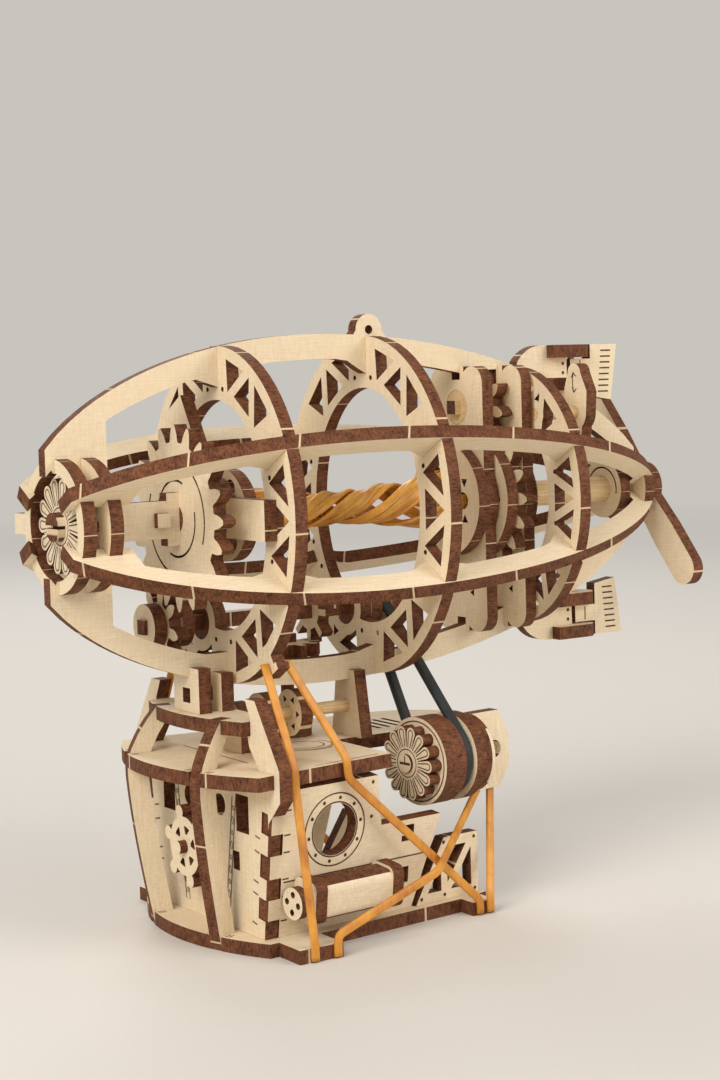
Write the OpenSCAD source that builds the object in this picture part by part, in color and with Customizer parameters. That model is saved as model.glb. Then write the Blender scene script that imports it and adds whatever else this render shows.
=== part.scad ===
// Rubber powered airship model, laser cut from plywood sheet.
// X runs from nose to tail, Z is up and the origin is on the table under the middle of the frame.

/* [Plywood] */
// Thickness of the sheet
ply = 3; // [2.5:0.1:3.4]
// Gap between plates that slot together
fit = 0.05; // [0.02:0.01:0.1]
// Radial gap of a turning round part in its hole
running = 0.08; // [0.04:0.01:0.1]

/* [Envelope] */
// Height of the main axis above the table
axis_z = 90; // [88:0.5:94]
// Half height of the envelope at its widest place
env_half = 38.5; // [37:0.5:41]
// Width of the envelope's section over its height
env_ratio = 0.855; // [0.82:0.005:0.9]
// Length from the widest place to the tip of the nose curve
nose_reach = 72.5; // [70:0.5:76]
// Length from the widest place to the tip of the tail curve
tail_reach = 96; // [95:0.5:98]
// Front face of the front ring
ring_front_x = -25; // [-27:0.5:-24]
// Front face of the middle ring
ring_middle_x = 13; // [11:0.5:15]
// Front face of the rear ring
ring_rear_x = 54; // [53.5:0.5:56]
// Radial width of a ring
ring_w = 11.5; // [10:0.25:12.5]
// Radial depth of a rib between the rings
rib_depth = 5.5; // [4.5:0.25:6.5]
// Radial depth of a rib's foot at a ring
foot_depth = 9; // [8.5:0.25:10]
// Front end of the ribs
rib_start_x = -66; // [-67:0.25:-65]
// Rear end of the ribs
rib_end_x = 91; // [90:0.25:92]
// Diameter of the hanging eye's hole
eye_bore = 2; // [1.5:0.1:2.4]
// Outside diameter of the hanging eye
eye_d = 7; // [6:0.25:8]

/* [Nose] */
// Front face of the nose ring
nose_ring_x = -64; // [-64.5:0.25:-63.5]
// Outside radius of the nose ring
nose_ring_r = 14; // [13.5:0.25:14.5]
// Inside radius of the nose ring
nose_hole_r = 11.2; // [10.8:0.1:11.5]
// Radius of the nose fan
fan_r = 10.1; // [9:0.1:10.4]
// Petals of a fan
petals = 14; // [10:1:16]
// Front face of the nose bearing plate
nose_bearing_x = -58; // [-58.5:0.25:-57]

/* [Shafts] */
// Radius of the main axles
axle_r = 3; // [2.5:0.1:3.2]
// Height of the flat part of the nose shaft
flat_h = 8; // [7:0.25:9]
// Side of a square axle
square_w = 3.2; // [2.8:0.1:3.4]
// Radius of a bush on a square axle
bush_r = 3.9; // [3.6:0.1:4.2]

/* [Gears] */
// Gear module
gear_m = 1.84; // [1.8:0.01:1.86]
// Teeth of the front gear
front_teeth = 20; // [20:4:20]
// Teeth of the rear gear
rear_teeth = 16; // [16:2:16]
// Teeth of the lower shaft's pinion
pinion_teeth = 8; // [8:1:8]
// Teeth of the upper shaft's pinion
upper_teeth = 7; // [7:1:7]
// Front face of the front gear
front_gear_x = -35.5; // [-36:0.25:-35]
// Front face of the rear gear
rear_gear_x = 46; // [45.75:0.25:46.5]
// Sideways offset of the lower shaft to the far side
lower_y = 10; // [9.5:0.25:10.5]
// Teeth of the peg wheel on the lower shaft
peg_teeth = 8; // [8:1:8]
// Teeth of the crown wheel
crown_teeth = 10; // [10:1:10]
// Tip radius of the peg wheel
peg_r = 6.3; // [6.1:0.05:6.5]
// Tip radius of the crown wheel
crown_r = 7.6; // [7.4:0.05:7.7]
// Front face of the peg wheel
peg_x = 3; // [2:0.25:4]

/* [Rubber motor] */
// Front face of the front hook plate
front_hook_x = -24; // [-24.5:0.25:-23.5]
// Radius of the front hook plate
front_hook_r = 10; // [9:0.25:11]
// Front face of the rear hook plate
rear_hook_x = 35; // [34.5:0.25:35.4]
// Radius of the rear hook plate
rear_hook_r = 13; // [12:0.25:13.5]
// Rubber strands in the motor
strands = 6; // [4:2:8]
// Radius of one strand
strand_r = 1.15; // [0.8:0.05:1.2]
// Turns of the twisted bundle
twist_turns = 1; // [0.5:0.25:1.5]
// Radius of the ring that the strands make at the hooks
spread_r = 7; // [6.5:0.25:7.5]
// Radius of the ring that the strands make at the waist
waist_r = 3.3; // [3.1:0.1:4]

/* [Tail] */
// Front face of the tail cap
tail_cap_x = 88; // [87.5:0.25:88.5]
// Radius of the tail cap
tail_cap_r = 9; // [8.5:0.25:9.5]
// Front face of the propeller
prop_x = 93; // [92.5:0.25:94]
// Length of a propeller blade from the axis
blade_len = 29; // [26:0.5:31]
// Width of a propeller blade
blade_w = 8; // [7:0.25:9]
// Front of the fins
fin_x = 54; // [54:0.25:55]
// Hinge line of the rudders
hinge_x = 73; // [72:0.25:74]
// Height of the fins' outer edge from the axis
fin_top = 35; // [34:0.25:36]
// Length of a rudder behind its hinge
rudder_len = 13; // [12:0.25:14]
// Radius of a rudder's hinge pin
hinge_r = 0.8; // [0.6:0.05:0.9]
// Half width of a hinge plate
hinge_plate_half = 4.2; // [3.8:0.1:4.5]
// Length of a hinge plate in front of the pin
hinge_plate_len = 8.5; // [7.5:0.25:9]

/* [Gondola] */
// Underside of the main roof
roof_z = 35.5; // [35:0.25:36.5]
// Underside of the upper deck
deck_z = 45.5; // [45:0.25:46]
// Half width of the main roof at its front corners
roof_half = 30; // [29:0.25:31]
// Half width of the base plate at its front corners
base_half = 27; // [26.5:0.25:28]
// Foremost point of the main roof
roof_nose_x = -44; // [-45:0.25:-43]
// Foremost point of the base plate
base_nose_x = -39; // [-39.5:0.25:-38]
// Radius of the rounded front in plan
bow_r = 54; // [50:1:58]
// Half width of the upper deck
deck_half = 20.5; // [20:0.25:21]
// Foremost point of the upper deck
deck_nose_x = -37; // [-37.5:0.25:-36.5]
// Angle of a cockpit rib from the middle of the bow in degrees
rib_spread = 16.5; // [16:0.5:17.5]
// Depth of a cockpit rib
cockpit_depth = 4.6; // [4.2:0.1:4.8]
// Outward lean of the side walls in degrees
wall_lean = 7; // [5:0.5:8]
// Inward run of the side walls to the rear in degrees
wall_taper = 5; // [4:0.5:6]
// Radius of a porthole
porthole_r = 5.7; // [5:0.1:6.2]
// Front face of the bulkhead
bulkhead_x = -31; // [-31.25:0.25:-30.75]
// Radius of the helm wheel
helm_r = 9; // [8.4:0.1:9.2]
// Height of the helm above the table
helm_z = 19; // [18:0.25:20]

/* [Turbine] */
// Centre of the turbine's front face along the model
turbine_x = 10.5; // [10:0.25:11]
// Distance of the turbine's centre to the near side
turbine_y = 17; // [16.5:0.25:17.5]
// Height of the turbine's centre
turbine_z = 34; // [33.75:0.25:34.5]
// Turn of the turbine's axis to the near side in degrees
turbine_yaw = 6; // [4:1:7]
// Radius of the turbine pulley's flanges
flange_r = 9.8; // [9.5:0.1:10]
// Radius of the turbine's petals
turbine_fan_r = 8.2; // [7.8:0.1:8.8]
// Radius of the drive belt's cord
belt_r = 0.9; // [0.7:0.05:1]
// Belt line radius on the turbine pulley
belt_low_r = 7.4; // [7:0.1:7.8]
// Belt line radius on the lower shaft's pulley
belt_top_r = 3.2; // [3:0.1:3.4]

/* [Hidden] */
$fn = 48;
eps = 0.01;
cream = "#e6cfa6";
pale = "#efdcb8";
honey = "#d9b880";
amber = "#c98a1e";
black = "#22282a";
ring_x = [ring_front_x, ring_middle_x, ring_rear_x];
widest_x = 0;
pinion_r = gear_m * pinion_teeth / 2;
front_r = gear_m * front_teeth / 2;
rear_r = gear_m * rear_teeth / 2;
lower_z = -sqrt(pow(front_r + pinion_r, 2) - pow(lower_y, 2));
upper_r = gear_m * upper_teeth / 2;
upper_z = rear_r + upper_r;
gearbox_front_x = rear_hook_x + ply + 0.8;
gearbox_back_x = rear_gear_x + ply + 1;
lap_depth = 6;
truss_rim = 2.4;
nose_lap = 1.4;
deep_foot = foot_depth - rib_depth;
low_foot = 1.4;
tail_lap = 3;
rib_angles = [0, 60, 120, 180, 240, 300];
deck_top = deck_z + ply;
roof_top = roof_z + ply;
crown_x = peg_x + ply / 2 - crown_r;
crown_z = lower_z - peg_r - 0.4;
gearbox_w = 20;
gearbox_top = 30.5;
gearbox_lap = 3;
fin_lap = 3.2;
fin_foot_w = 5;
fin_feet_x = [57.5, 64];
pin_r = 1.4;
lever_y = -9.5;
lever_z = 19;
lever_x = ring_rear_x + ply + 9;
cradle_x = [-34.5, -29];
cradle_lap = 1;
cradle_half = 5.5;
post_x = 6;
belt_x = ring_middle_x + ply + 1 + ply + 1.35;
fin_gap = 0.4;
hinge_room = 2.5;
fin_low = env_r(hinge_x - hinge_room) + fit;
collar_x = [front_gear_x - ply - 0.4, front_gear_x + ply + 0.4];
idler_z = roof_top + 6.9;
idler_r = 1.4;
spoke_r = 5.2;
stern_x = 29;
tab_out = 8;
front_tab_x = [-29.5, -19];
rear_tab_x = [20.6, 26.4];
rear_tab_y = 26.5;
rib_bow_angle = [-rib_spread, rib_spread];
notch_x = 1;
notch_y = 3;
roof_end = 44;
roof_waist = 25;
truss_x = 8.8;
truss_h = 14;
deck_back_x = -25;
wall_front_x = bulkhead_x;
wall_y = 25;
wall_h = roof_z - ply - 0.4;
wall_step = 11.9;
finger_v = [[4, 4.5], [13, 5], [22.5, 4.5]];
shoulder_y = roof_half + 1.5;
wing_top = deck_top + 4.5;
wing_seat = 26.2;
helm_y = 2;
tank_from = 6.5;
tank_len = 17.5;
tank_up = 8.5;
strap_h = 9.2;
strap_t = 7.6;
corner_r = 1.9;
valve_r = 0.7;
turbine_pin_r = 2;
pod_r = 8.8;
pod_tail = 11;
band_w = 2.2;
band_t = 0.9;
bracket_x = deck_back_x + 1.3;

// Half height of the envelope's outline above the axis at a place along the model
function env_r(x) =
  let (front = x < widest_x, reach = front ? nose_reach : tail_reach)
  env_half * pow(max(0, 1 - pow((x - widest_x) / reach, 2)), front ? 0.5 : 0.6);

// Share of the half height at which a rib turned by an angle from the top lies
function env_share(angle) = 1 / sqrt(pow(sin(angle) / env_ratio, 2) + pow(cos(angle), 2));

// Twice the signed area of an outline
function twice_area(p) = let (n = len(p))
  [for (i = [0 : n - 1]) p[i][0] * p[(i + 1) % n][1] - p[(i + 1) % n][0] * p[i][1]] * [for (q = p) 1];

// Outline that runs anticlockwise
function turned(p) = twice_area(p) < 0 ? [for (i = [len(p) - 1 : -1 : 0]) p[i]] : p;

// Point of an ellipse
function oval(a, b, angle) = [a * cos(angle), b * sin(angle)];

// Smooth step from 1 at a place to 0 at a distance from it
function foot(x, place, reach) =
  let (t = min(1, max(0, abs(x - place) / reach)))
  1 - t * t * (3 - 2 * t);

// Involute tooth flank angle in degrees at a radius
function involute(base, r) = let (t = sqrt(max(0, pow(r / base, 2) - 1))) t * 180 / PI - atan(t);

// Outline of a spur gear with a tooth centred on the X axis
function gear_points(n, tip, root, thin) =
  let (
    pitch = gear_m * n / 2,
    base = pitch * cos(24),
    half = 90 / n - thin * 90 / (PI * pitch),
    start = max(base, root),
    radii = [start, (start * 2 + tip) / 3, (start + tip * 2) / 3, tip],
    flank = [for (r = radii) half + involute(base, pitch) - involute(base, r)]
  )
  [for (i = [0 : n - 1]) each concat(
    [[root, -flank[0] - 1]],
    [for (k = [0 : 3]) [radii[k], -flank[k]]],
    [for (k = [3 : -1 : 0]) [radii[k], flank[k]]],
    [[root, flank[0] + 1]]
  ) + [for (k = [0 : 9]) [0, i * 360 / n]]];

// Tube of flat faces along a list of points, closed into a loop or capped at its ends
module tube(path, r, sides, closed = false) {
  n = len(path);
  last = n - 1;
  rings = [for (i = [0 : last])
    let (
      a = closed ? path[(i + last) % n] : path[max(0, i - 1)],
      b = closed ? path[(i + 1) % n] : path[min(last, i + 1)],
      t = (b - a) / norm(b - a),
      side = cross(t, abs(t[0]) > 0.8 ? [0, 0, 1] : [1, 0, 0]),
      u = side / norm(side),
      v = cross(t, u)
    )
    for (k = [0 : sides - 1]) path[i] + r * (cos(k * 360 / sides) * u + sin(k * 360 / sides) * v)];
  walls = [for (i = [0 : closed ? last : last - 1], k = [0 : sides - 1])
    let (a = i * sides, b = ((i + 1) % n) * sides, m = (k + 1) % sides)
    each [[a + k, b + k, b + m], [a + k, b + m, a + m]]];
  caps = closed ? [] : concat(
    [for (k = [1 : sides - 2]) [0, k, k + 1]],
    [for (k = [1 : sides - 2]) [last * sides, last * sides + k + 1, last * sides + k]]
  );
  polyhedron(points = rings, faces = concat(walls, caps));
}

// Filled outline
module outline(p) {
  polygon(turned(p));
}

// Plate square to the model's length: the outline's axes are Y and Z
module plate_x(x, t = ply) {
  translate([x, 0, 0]) rotate([90, 0, 90]) linear_extrude(t) children();
}

// Upright plate along the model: the outline's axes are X and Z
module plate_y(y, t = ply) {
  translate([0, y + t, 0]) rotate([90, 0, 0]) linear_extrude(t) children();
}

// Level plate
module plate_z(z, t = ply) {
  translate([0, 0, z]) linear_extrude(t) children();
}

// Moves children from the axis to the table frame
module on_axis() {
  translate([0, 0, axis_z]) children();
}

// Mirrored pair on the near and the far side
module both_sides() {
  children();
  mirror([0, 1, 0]) children();
}

module gear_2d(n, clearance = 0.45) {
  pitch = gear_m * n / 2;
  tip = pitch + gear_m * 0.86;
  root = pitch - gear_m * 1.16;
  outline([for (p = gear_points(n, tip, root, clearance)) p[0] * [cos(p[1]), sin(p[1])]]);
}

// Fan with rounded petals round a hub
module fan_2d(r, hub) {
  petal = r * 0.16;
  circle(hub);
  for (i = [0 : petals - 1]) rotate(i * 360 / petals) {
    translate([r - petal, 0]) circle(petal);
    outline([[hub - 1, -petal * 0.45], [r - petal, -petal], [r - petal, petal], [hub - 1, petal * 0.45]]);
  }
}

// Three truss windows in a ring's stretch between two ribs
module truss_windows(a, b) {
  outer = function (t) oval(a - truss_rim, b - truss_rim, t);
  inner = function (t) oval(a - ring_w + truss_rim, b - ring_w + truss_rim, t);
  for (i = [0 : 5]) {
    mid = 60 * i;
    outline([inner(mid - 9), inner(mid + 9), outer(mid)]);
    for (s = [-1, 1]) outline([outer(mid + s * 5), outer(mid + s * 20), inner(mid + s * 16)]);
  }
}

// Outline of a frame ring with its slots for the ribs
module ring_2d(x) {
  b = env_r(x + ply / 2) - fit;
  a = b * env_ratio;
  difference() {
    outline([for (t = [0 : 5 : 355]) oval(a, b, t)]);
    outline([for (t = [0 : 5 : 355]) oval(a - ring_w, b - ring_w, t)]);
    truss_windows(a, b);
    for (angle = rib_angles) rotate(angle) {
      r = b * env_share(angle);
      translate([-ply / 2 - fit, r - lap_depth]) square([ply + 2 * fit, 2 * lap_depth]);
      for (s = [-1, 1]) translate([s * 3.2, r - ring_w + 2.2]) circle(0.55);
    }
  }
}

// Ring with a boss for the lower shaft
module shaft_ring_2d(x) {
  difference() {
    union() {
      ring_2d(x);
      translate([lower_y, lower_z]) circle(bush_r + 2.6);
    }
    translate([lower_y, lower_z]) circle(bush_r + running);
    rotate(180) {
      r = (env_r(x + ply / 2) - fit);
      translate([-ply / 2 - fit, r - lap_depth]) square([ply + 2 * fit, 2 * lap_depth]);
    }
  }
}

// Hook for the lashing at the front ring's rim
module ring_pegs_2d(x) {
  b = env_r(x + ply / 2);
  for (s = [-1, 1]) rotate(s * 148) {
    r = b * env_share(148);
    translate([-1.6, r - 3]) square([3.2, 6.2]);
    translate([-2.6, r + 1.8]) square([5.2, 1.6]);
  }
}

// Rib outline: place along the model against distance from the axis
module rib_2d(angle, feet, start = rib_start_x, finish = rib_end_x) {
  share = env_share(angle);
  step = 3;
  count = ceil((finish - start) / step);
  xs = [for (i = [0 : count]) start + (finish - start) * i / count];
  depth = function (x) rib_depth + max([for (i = [0 : 2]) feet[i] * foot(x, ring_x[i] + ply / 2, 8)]);
  nose_block_end = nose_bearing_x + ply + 3;
  tail_block_start = tail_cap_x - 2.5;
  difference() {
    union() {
      outline(concat(
        [for (x = xs) [x, env_r(x) * share]],
        [for (i = [count : -1 : 0]) [xs[i], max(4.5, env_r(xs[i]) * share - depth(xs[i]))]]
      ));
      outline(concat(
        [for (x = [start : 2 : nose_block_end]) [x, env_r(x) * share - 1]],
        [[nose_block_end, nose_ring_r - nose_lap - 1.5], [start + 1.6, nose_ring_r - nose_lap - 1.5]]
      ));
      outline([
        [tail_block_start, env_r(tail_block_start) * share - 1], [finish, env_r(finish) * share - 1],
        [finish, 4.5], [tail_block_start, 4.5]
      ]);
    }
    for (x = ring_x) {
      r = (env_r(x + ply / 2) - fit) * share;
      translate([x - fit, 0]) square([ply + 2 * fit, r - lap_depth + fit]);
    }
    for (x = [nose_ring_x, nose_bearing_x])
      translate([x - fit, 0]) square([ply + 2 * fit, nose_ring_r - nose_lap + fit]);
    translate([tail_cap_x - fit, 0]) square([ply + 2 * fit, tail_cap_r - tail_lap + fit]);
  }
}

module rib(angle) {
  rotate([angle, 0, 0]) rotate([90, 0, 0]) linear_extrude(ply, center = true) children();
}

// Slots for six rib ends round a disc
module disc_slots_2d(r, lap) {
  for (angle = rib_angles) rotate(angle)
    translate([-ply / 2 - fit, r - lap]) square([ply + 2 * fit, 2 * lap]);
}

module front_ring() {
  color(cream) on_axis() plate_x(ring_front_x) {
    difference() {
      union() {
        shaft_ring_2d(ring_front_x);
        ring_pegs_2d(ring_front_x);
      }
      translate([lower_y, lower_z]) circle(bush_r + running);
    }
  }
}

module middle_ring() {
  color(cream) on_axis() plate_x(ring_middle_x) shaft_ring_2d(ring_middle_x);
}

module rear_ring() {
  color(cream) on_axis() plate_x(ring_rear_x) difference() {
    union() {
      ring_2d(ring_rear_x);
      translate([lever_y, lever_z]) circle(pin_r + 2);
    }
    translate([lever_y, lever_z]) circle(pin_r + fit);
  }
}

module top_rib() {
  eye_x = ring_middle_x + 1;
  eye_z = env_r(eye_x) + 1.3;
  color(cream) on_axis() rib(0) difference() {
    union() {
      rib_2d(0, [deep_foot, deep_foot, low_foot]);
      translate([eye_x, eye_z]) circle(d = eye_d);
      outline([[eye_x - eye_d * 0.8, eye_z - 3], [eye_x - eye_d * 0.4, eye_z + 0.8],
        [eye_x + eye_d * 0.4, eye_z + 0.8], [eye_x + eye_d * 0.8, eye_z - 3]]);
    }
    translate([eye_x, eye_z]) circle(d = eye_bore);
    fin_slots_2d();
    gearbox_slots_2d();
    // Room for the upper pinion
    translate([rear_gear_x - 0.4, 0]) square([ply + 0.8, upper_z + upper_r + gear_m * 0.86 + 0.5]);
  }
}

module bottom_rib() {
  color(cream) on_axis() rib(180) difference() {
    rib_2d(180, [low_foot, low_foot, low_foot]);
    fin_slots_2d();
    gearbox_slots_2d();
    // Room for the drive belt
    translate([belt_x - 4, 0]) square([8, env_r(belt_x) - 4.4]);
    // Seats of the cradle plates and the post
    for (x = [cradle_x[0], cradle_x[1], post_x])
      translate([x - fit, env_r(x) - cradle_lap]) square([ply + 2 * fit, 2 * cradle_lap]);
  }
}

// Slots in the ribs for the plates of the rear gearbox
module gearbox_slots_2d() {
  for (x = [gearbox_front_x, gearbox_back_x])
    translate([x - fit, 0]) square([ply + 2 * fit, gearbox_top - gearbox_lap + fit]);
}

// Slots in the ribs for the fins' feet
module fin_slots_2d() {
  for (x = fin_feet_x) translate([x - fit, env_r(x) - fin_lap]) square([fin_foot_w + 2 * fit, 20]);
}

module side_ribs() {
  color(cream) on_axis() for (angle = [60, 120, 240, 300]) rib(angle)
    rib_2d(angle, [deep_foot, deep_foot, deep_foot]);
}

module nose_ring() {
  color(pale) on_axis() plate_x(nose_ring_x) difference() {
    union() {
      circle(nose_ring_r);
      translate([nose_ring_r - 1.2, -2.2]) square([6.2, 4.4]);
    }
    circle(nose_hole_r);
    disc_slots_2d(nose_ring_r, nose_lap);
  }
}

module nose_bearing() {
  color(pale) on_axis() plate_x(nose_bearing_x) difference() {
    circle(nose_ring_r);
    circle(axle_r + running);
    disc_slots_2d(nose_ring_r, nose_lap);
    for (i = [0 : 5]) rotate(i * 60) translate([7.4, 0]) circle(1.4);
  }
}

// Three armed plate on the front ring that carries the motor's front axle
module front_bearing() {
  arm_w = 8.5;
  color(cream) on_axis() plate_x(ring_front_x - ply) difference() {
    union() {
      circle(8.5);
      for (angle = [0, 120, 240]) rotate(angle + 90) translate([-arm_w / 2, 0])
        square([arm_w, ring_arm_r(angle)]);
    }
    circle(axle_r + running);
    translate([lower_y, lower_z]) circle(bush_r + 2.6);
  }
}

// Reach of a bearing arm onto the front ring
function ring_arm_r(angle) =
  env_r(ring_front_x) * env_share(angle + 90) - ring_w + 4.5;

// Upright plate of the rear gearbox, notched over the top and the bottom rib
module gearbox_2d(x) {
  difference() {
    union() {
      translate([-gearbox_w / 2, -gearbox_top + 4]) square([gearbox_w, 2 * gearbox_top - 8]);
      for (s = [-1, 1], e = [-1, 1]) translate([s * (gearbox_w / 2 - 4), e * (gearbox_top - 4)]) circle(4);
      translate([-3, -gearbox_top]) square([6, 2 * gearbox_top]);
      circle(gearbox_w / 2 + 1.5);
    }
    circle(axle_r + running);
    translate([0, upper_z]) circle(bush_r + running);
    for (s = [0, 180]) rotate(s) translate([-ply / 2 - fit, gearbox_top - gearbox_lap])
      square([ply + 2 * fit, 2 * gearbox_lap]);
    for (s = [-1, 1]) translate([s * 4.6, -gearbox_top + 9]) circle(1, $fn = 3);
    translate([-4, 12]) square([8, 1.4]);
    translate([bush_r + 2, upper_z - 0.8]) square([3.2, 1.5]);
  }
}

module gearbox_front() {
  color(cream) on_axis() plate_x(gearbox_front_x) gearbox_2d(gearbox_front_x);
}

module gearbox_back() {
  color(cream) on_axis() plate_x(gearbox_back_x) gearbox_2d(gearbox_back_x);
}

module tail_cap() {
  color(pale) on_axis() plate_x(tail_cap_x) difference() {
    circle(tail_cap_r);
    circle(axle_r + running);
    disc_slots_2d(tail_cap_r, tail_lap);
  }
}

// Fixed fin above or below the tail: place along the model against height over the axis
module fin_2d() {
  back = hinge_x - hinge_room;
  bow = 9;
  outline(concat(
    [for (x = [fin_x + 1.4 : 1 : back - 0.5]) [x, env_r(x) + fit]],
    [[back, fin_low], [back, fin_top]],
    [for (t = [90 : 6 : 144]) [fin_x + bow + bow * cos(t), fin_top - bow + bow * sin(t)]]
  ));
  for (x = fin_feet_x) translate([x, env_r(x) - fin_lap]) square([fin_foot_w, fin_lap + 1]);
}

module top_fin() {
  color(pale) on_axis() rib(0) fin_2d();
}

module bottom_fin() {
  color(pale) on_axis() rotate([180, 0, 0]) rib(0) fin_2d();
}

// Level forked plate that grips a fin and holds the rudder's pin
module hinge_plate_2d() {
  front = hinge_x - hinge_plate_len;
  slot_end = hinge_x - hinge_room + fit;
  difference() {
    union() {
      translate([hinge_x, 0]) circle(hinge_plate_half);
      translate([front, -hinge_plate_half]) square([hinge_plate_len, 2 * hinge_plate_half]);
    }
    translate([front - 1, -ply / 2 - fit]) square([slot_end - front + 1, ply + 2 * fit]);
    translate([hinge_x, 0]) circle(hinge_r + fit);
  }
}

module hinge_plates() {
  color(cream) on_axis() for (s = [0, 180]) rotate([s, 0, 0]) {
    plate_z(fin_low) hinge_plate_2d();
    plate_z(fin_top - ply) hinge_plate_2d();
  }
}

module pivot_pins() {
  color(honey) on_axis() {
    for (s = [0, 180]) rotate([s, 0, 0]) translate([hinge_x, 0, fin_low])
      cylinder(r = hinge_r, h = fin_top - fin_low);
    translate([ring_rear_x, lever_y, lever_z]) rotate([0, 90, 0])
      cylinder(r = pin_r, h = lever_x + ply + 1 - ring_rear_x);
  }
}

// Rudder flap behind a fin
module rudder_2d() {
  z0 = fin_low + ply + fin_gap;
  z1 = fin_top - ply - fin_gap;
  low = fin_low - 1.6;
  clear_x = hinge_x + hinge_plate_half + 0.5;
  outline([
    [hinge_x - 1.4, z0], [clear_x, z0], [clear_x, low],
    [hinge_x + rudder_len - 2, low - 1], [hinge_x + rudder_len, fin_top],
    [clear_x, fin_top], [clear_x, z1], [hinge_x - 1.4, z1]
  ]);
}

module rudder() {
  difference() {
    rib(0) rudder_2d();
    translate([hinge_x, 0, 0]) cylinder(r = hinge_r + running, h = 60);
  }
}

module top_rudder() {
  color(pale) on_axis() rudder();
}

module bottom_rudder() {
  color(pale) on_axis() rotate([180, 0, 0]) rudder();
}

module nose_fan() {
  color(pale) on_axis() plate_x(nose_ring_x + 1.4) difference() {
    fan_2d(fan_r, 4.6);
    circle(axle_r + fit);
  }
}

module nose_shaft() {
  t_len = 3;
  color(honey) on_axis() {
    front = nose_ring_x - 0.4;
    difference() {
      translate([front, 0, 0]) rotate([0, 90, 0])
        cylinder(r = axle_r, h = nose_bearing_x + ply + 0.5 - front);
      // Split end
      translate([front - 1, -axle_r - 1, -0.35]) cube([2.6, 2 * axle_r + 2, 0.7]);
    }
    back = nose_bearing_x + ply + 0.4;
    translate([back, -ply / 2, -flat_h / 2]) cube([front_gear_x - back, ply, flat_h]);
    translate([front_gear_x - t_len, -ply / 2, -flat_h * 0.7]) cube([t_len, ply, flat_h * 1.4]);
    translate([front_gear_x - 2 * ply, -ply, -ply / 2]) cube([ply, 2 * ply, ply]);
    translate([front_gear_x - eps, 0, 0]) rotate([0, 90, 0])
      cylinder(r = axle_r, h = front_hook_x + ply - front_gear_x);
  }
}

module front_gear() {
  color(pale) on_axis() plate_x(front_gear_x) difference() {
    gear_2d(front_teeth);
    circle(axle_r + fit);
    // Spring slits
    for (s = [0, 180]) rotate(s) intersection() {
      difference() {
        circle(8.4);
        circle(7.9);
      }
      outline([[0, 0], [14, -3], [14, 14], [-6, 14]]);
    }
    for (s = [90, 270]) rotate(s) intersection() {
      difference() {
        circle(12.4);
        circle(11.9);
      }
      outline([[0, 0], [20, -3], [20, 20], [-9, 20]]);
    }
  }
}

// Plate with slots that the rubber strands loop through
module hook_2d(r) {
  difference() {
    circle(r);
    circle(axle_r + fit);
    for (i = [0 : strands - 1]) rotate(i * 360 / strands)
      translate([spread_r - 0.2, 0]) circle(strand_r + 0.8);
  }
}

module front_hook() {
  color(cream) on_axis() plate_x(front_hook_x) hook_2d(front_hook_r);
}

// Path of one strand of the rubber motor between the hook plates
function strand_path(first, length) =
  [for (i = [0 : 24])
    let (
      t = i / 24,
      r = waist_r + (spread_r - 0.2 - waist_r) * pow(abs(2 * t - 1), 1.6),
      turn = twist_turns * 360 * (t * t * (3 - 2 * t))
    )
    [front_hook_x + ply / 2 + t * length, r * cos(first + turn), r * sin(first + turn)]];

module rubber_motor() {
  length = rear_hook_x - front_hook_x;
  color(amber) on_axis() for (i = [0 : strands - 1])
    tube(strand_path(i * 360 / strands, length), strand_r, 8);
  gaps = [for (i = [0 : 24])
    let (a = strand_path(0, length), b = strand_path(360 / strands, length)) norm(a[i] - b[i]) - 2 * strand_r];
  echo(least_strand_gap = min(gaps));
}

module rear_hook() {
  color(cream) on_axis() plate_x(rear_hook_x) difference() {
    hook_2d(rear_hook_r);
    for (i = [0 : 5]) rotate(i * 60 + 30) translate([8.6, 0]) circle(1.3, $fn = 3);
  }
}

module rear_disc() {
  color(cream) on_axis() plate_x(gearbox_front_x + ply + 0.5) difference() {
    circle(14);
    circle(axle_r + fit);
    for (i = [0 : 5]) rotate(i * 60) translate([10.5, 0]) circle(0.7);
  }
}

module rear_gear() {
  color(pale) on_axis() plate_x(rear_gear_x) difference() {
    gear_2d(rear_teeth);
    circle(axle_r + fit);
  }
}

module rear_axle() {
  color(honey) on_axis() translate([rear_hook_x, 0, 0]) rotate([0, 90, 0])
    cylinder(r = axle_r, h = prop_x + ply + 1.2 - rear_hook_x);
}

module tail_disc() {
  color(pale) on_axis() plate_x(tail_cap_x - 6) difference() {
    circle(7);
    circle(axle_r + fit);
    intersection() {
      difference() {
        circle(5.4);
        circle(5);
      }
      translate([-8, -1]) square([16, 8]);
    }
  }
}

// Two bladed propeller turned to where it came to rest
module propeller() {
  rest_angle = 50;
  color(pale) on_axis() plate_x(prop_x) rotate(180 + rest_angle) difference() {
    union() {
      circle(6);
      for (s = [0, 180]) rotate(s) {
        outline([[0, -3], [blade_len * 0.5, -blade_w / 2], [blade_len - blade_w / 2, -blade_w / 2],
          [blade_len - blade_w / 2, blade_w / 2], [blade_len * 0.5, blade_w / 2], [0, 3]]);
        translate([blade_len - blade_w / 2, 0]) circle(blade_w / 2);
      }
    }
    circle(axle_r + fit);
  }
}

module upper_axle() {
  from = gearbox_front_x - 1.5;
  color(honey) on_axis() translate([0, 0, upper_z]) {
    translate([from, -square_w / 2, -square_w / 2])
      cube([gearbox_back_x + ply + 0.6 - from, square_w, square_w]);
    for (x = [gearbox_front_x, gearbox_back_x]) translate([x, 0, 0]) rotate([0, 90, 0])
      cylinder(r = bush_r, h = ply);
  }
}

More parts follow.
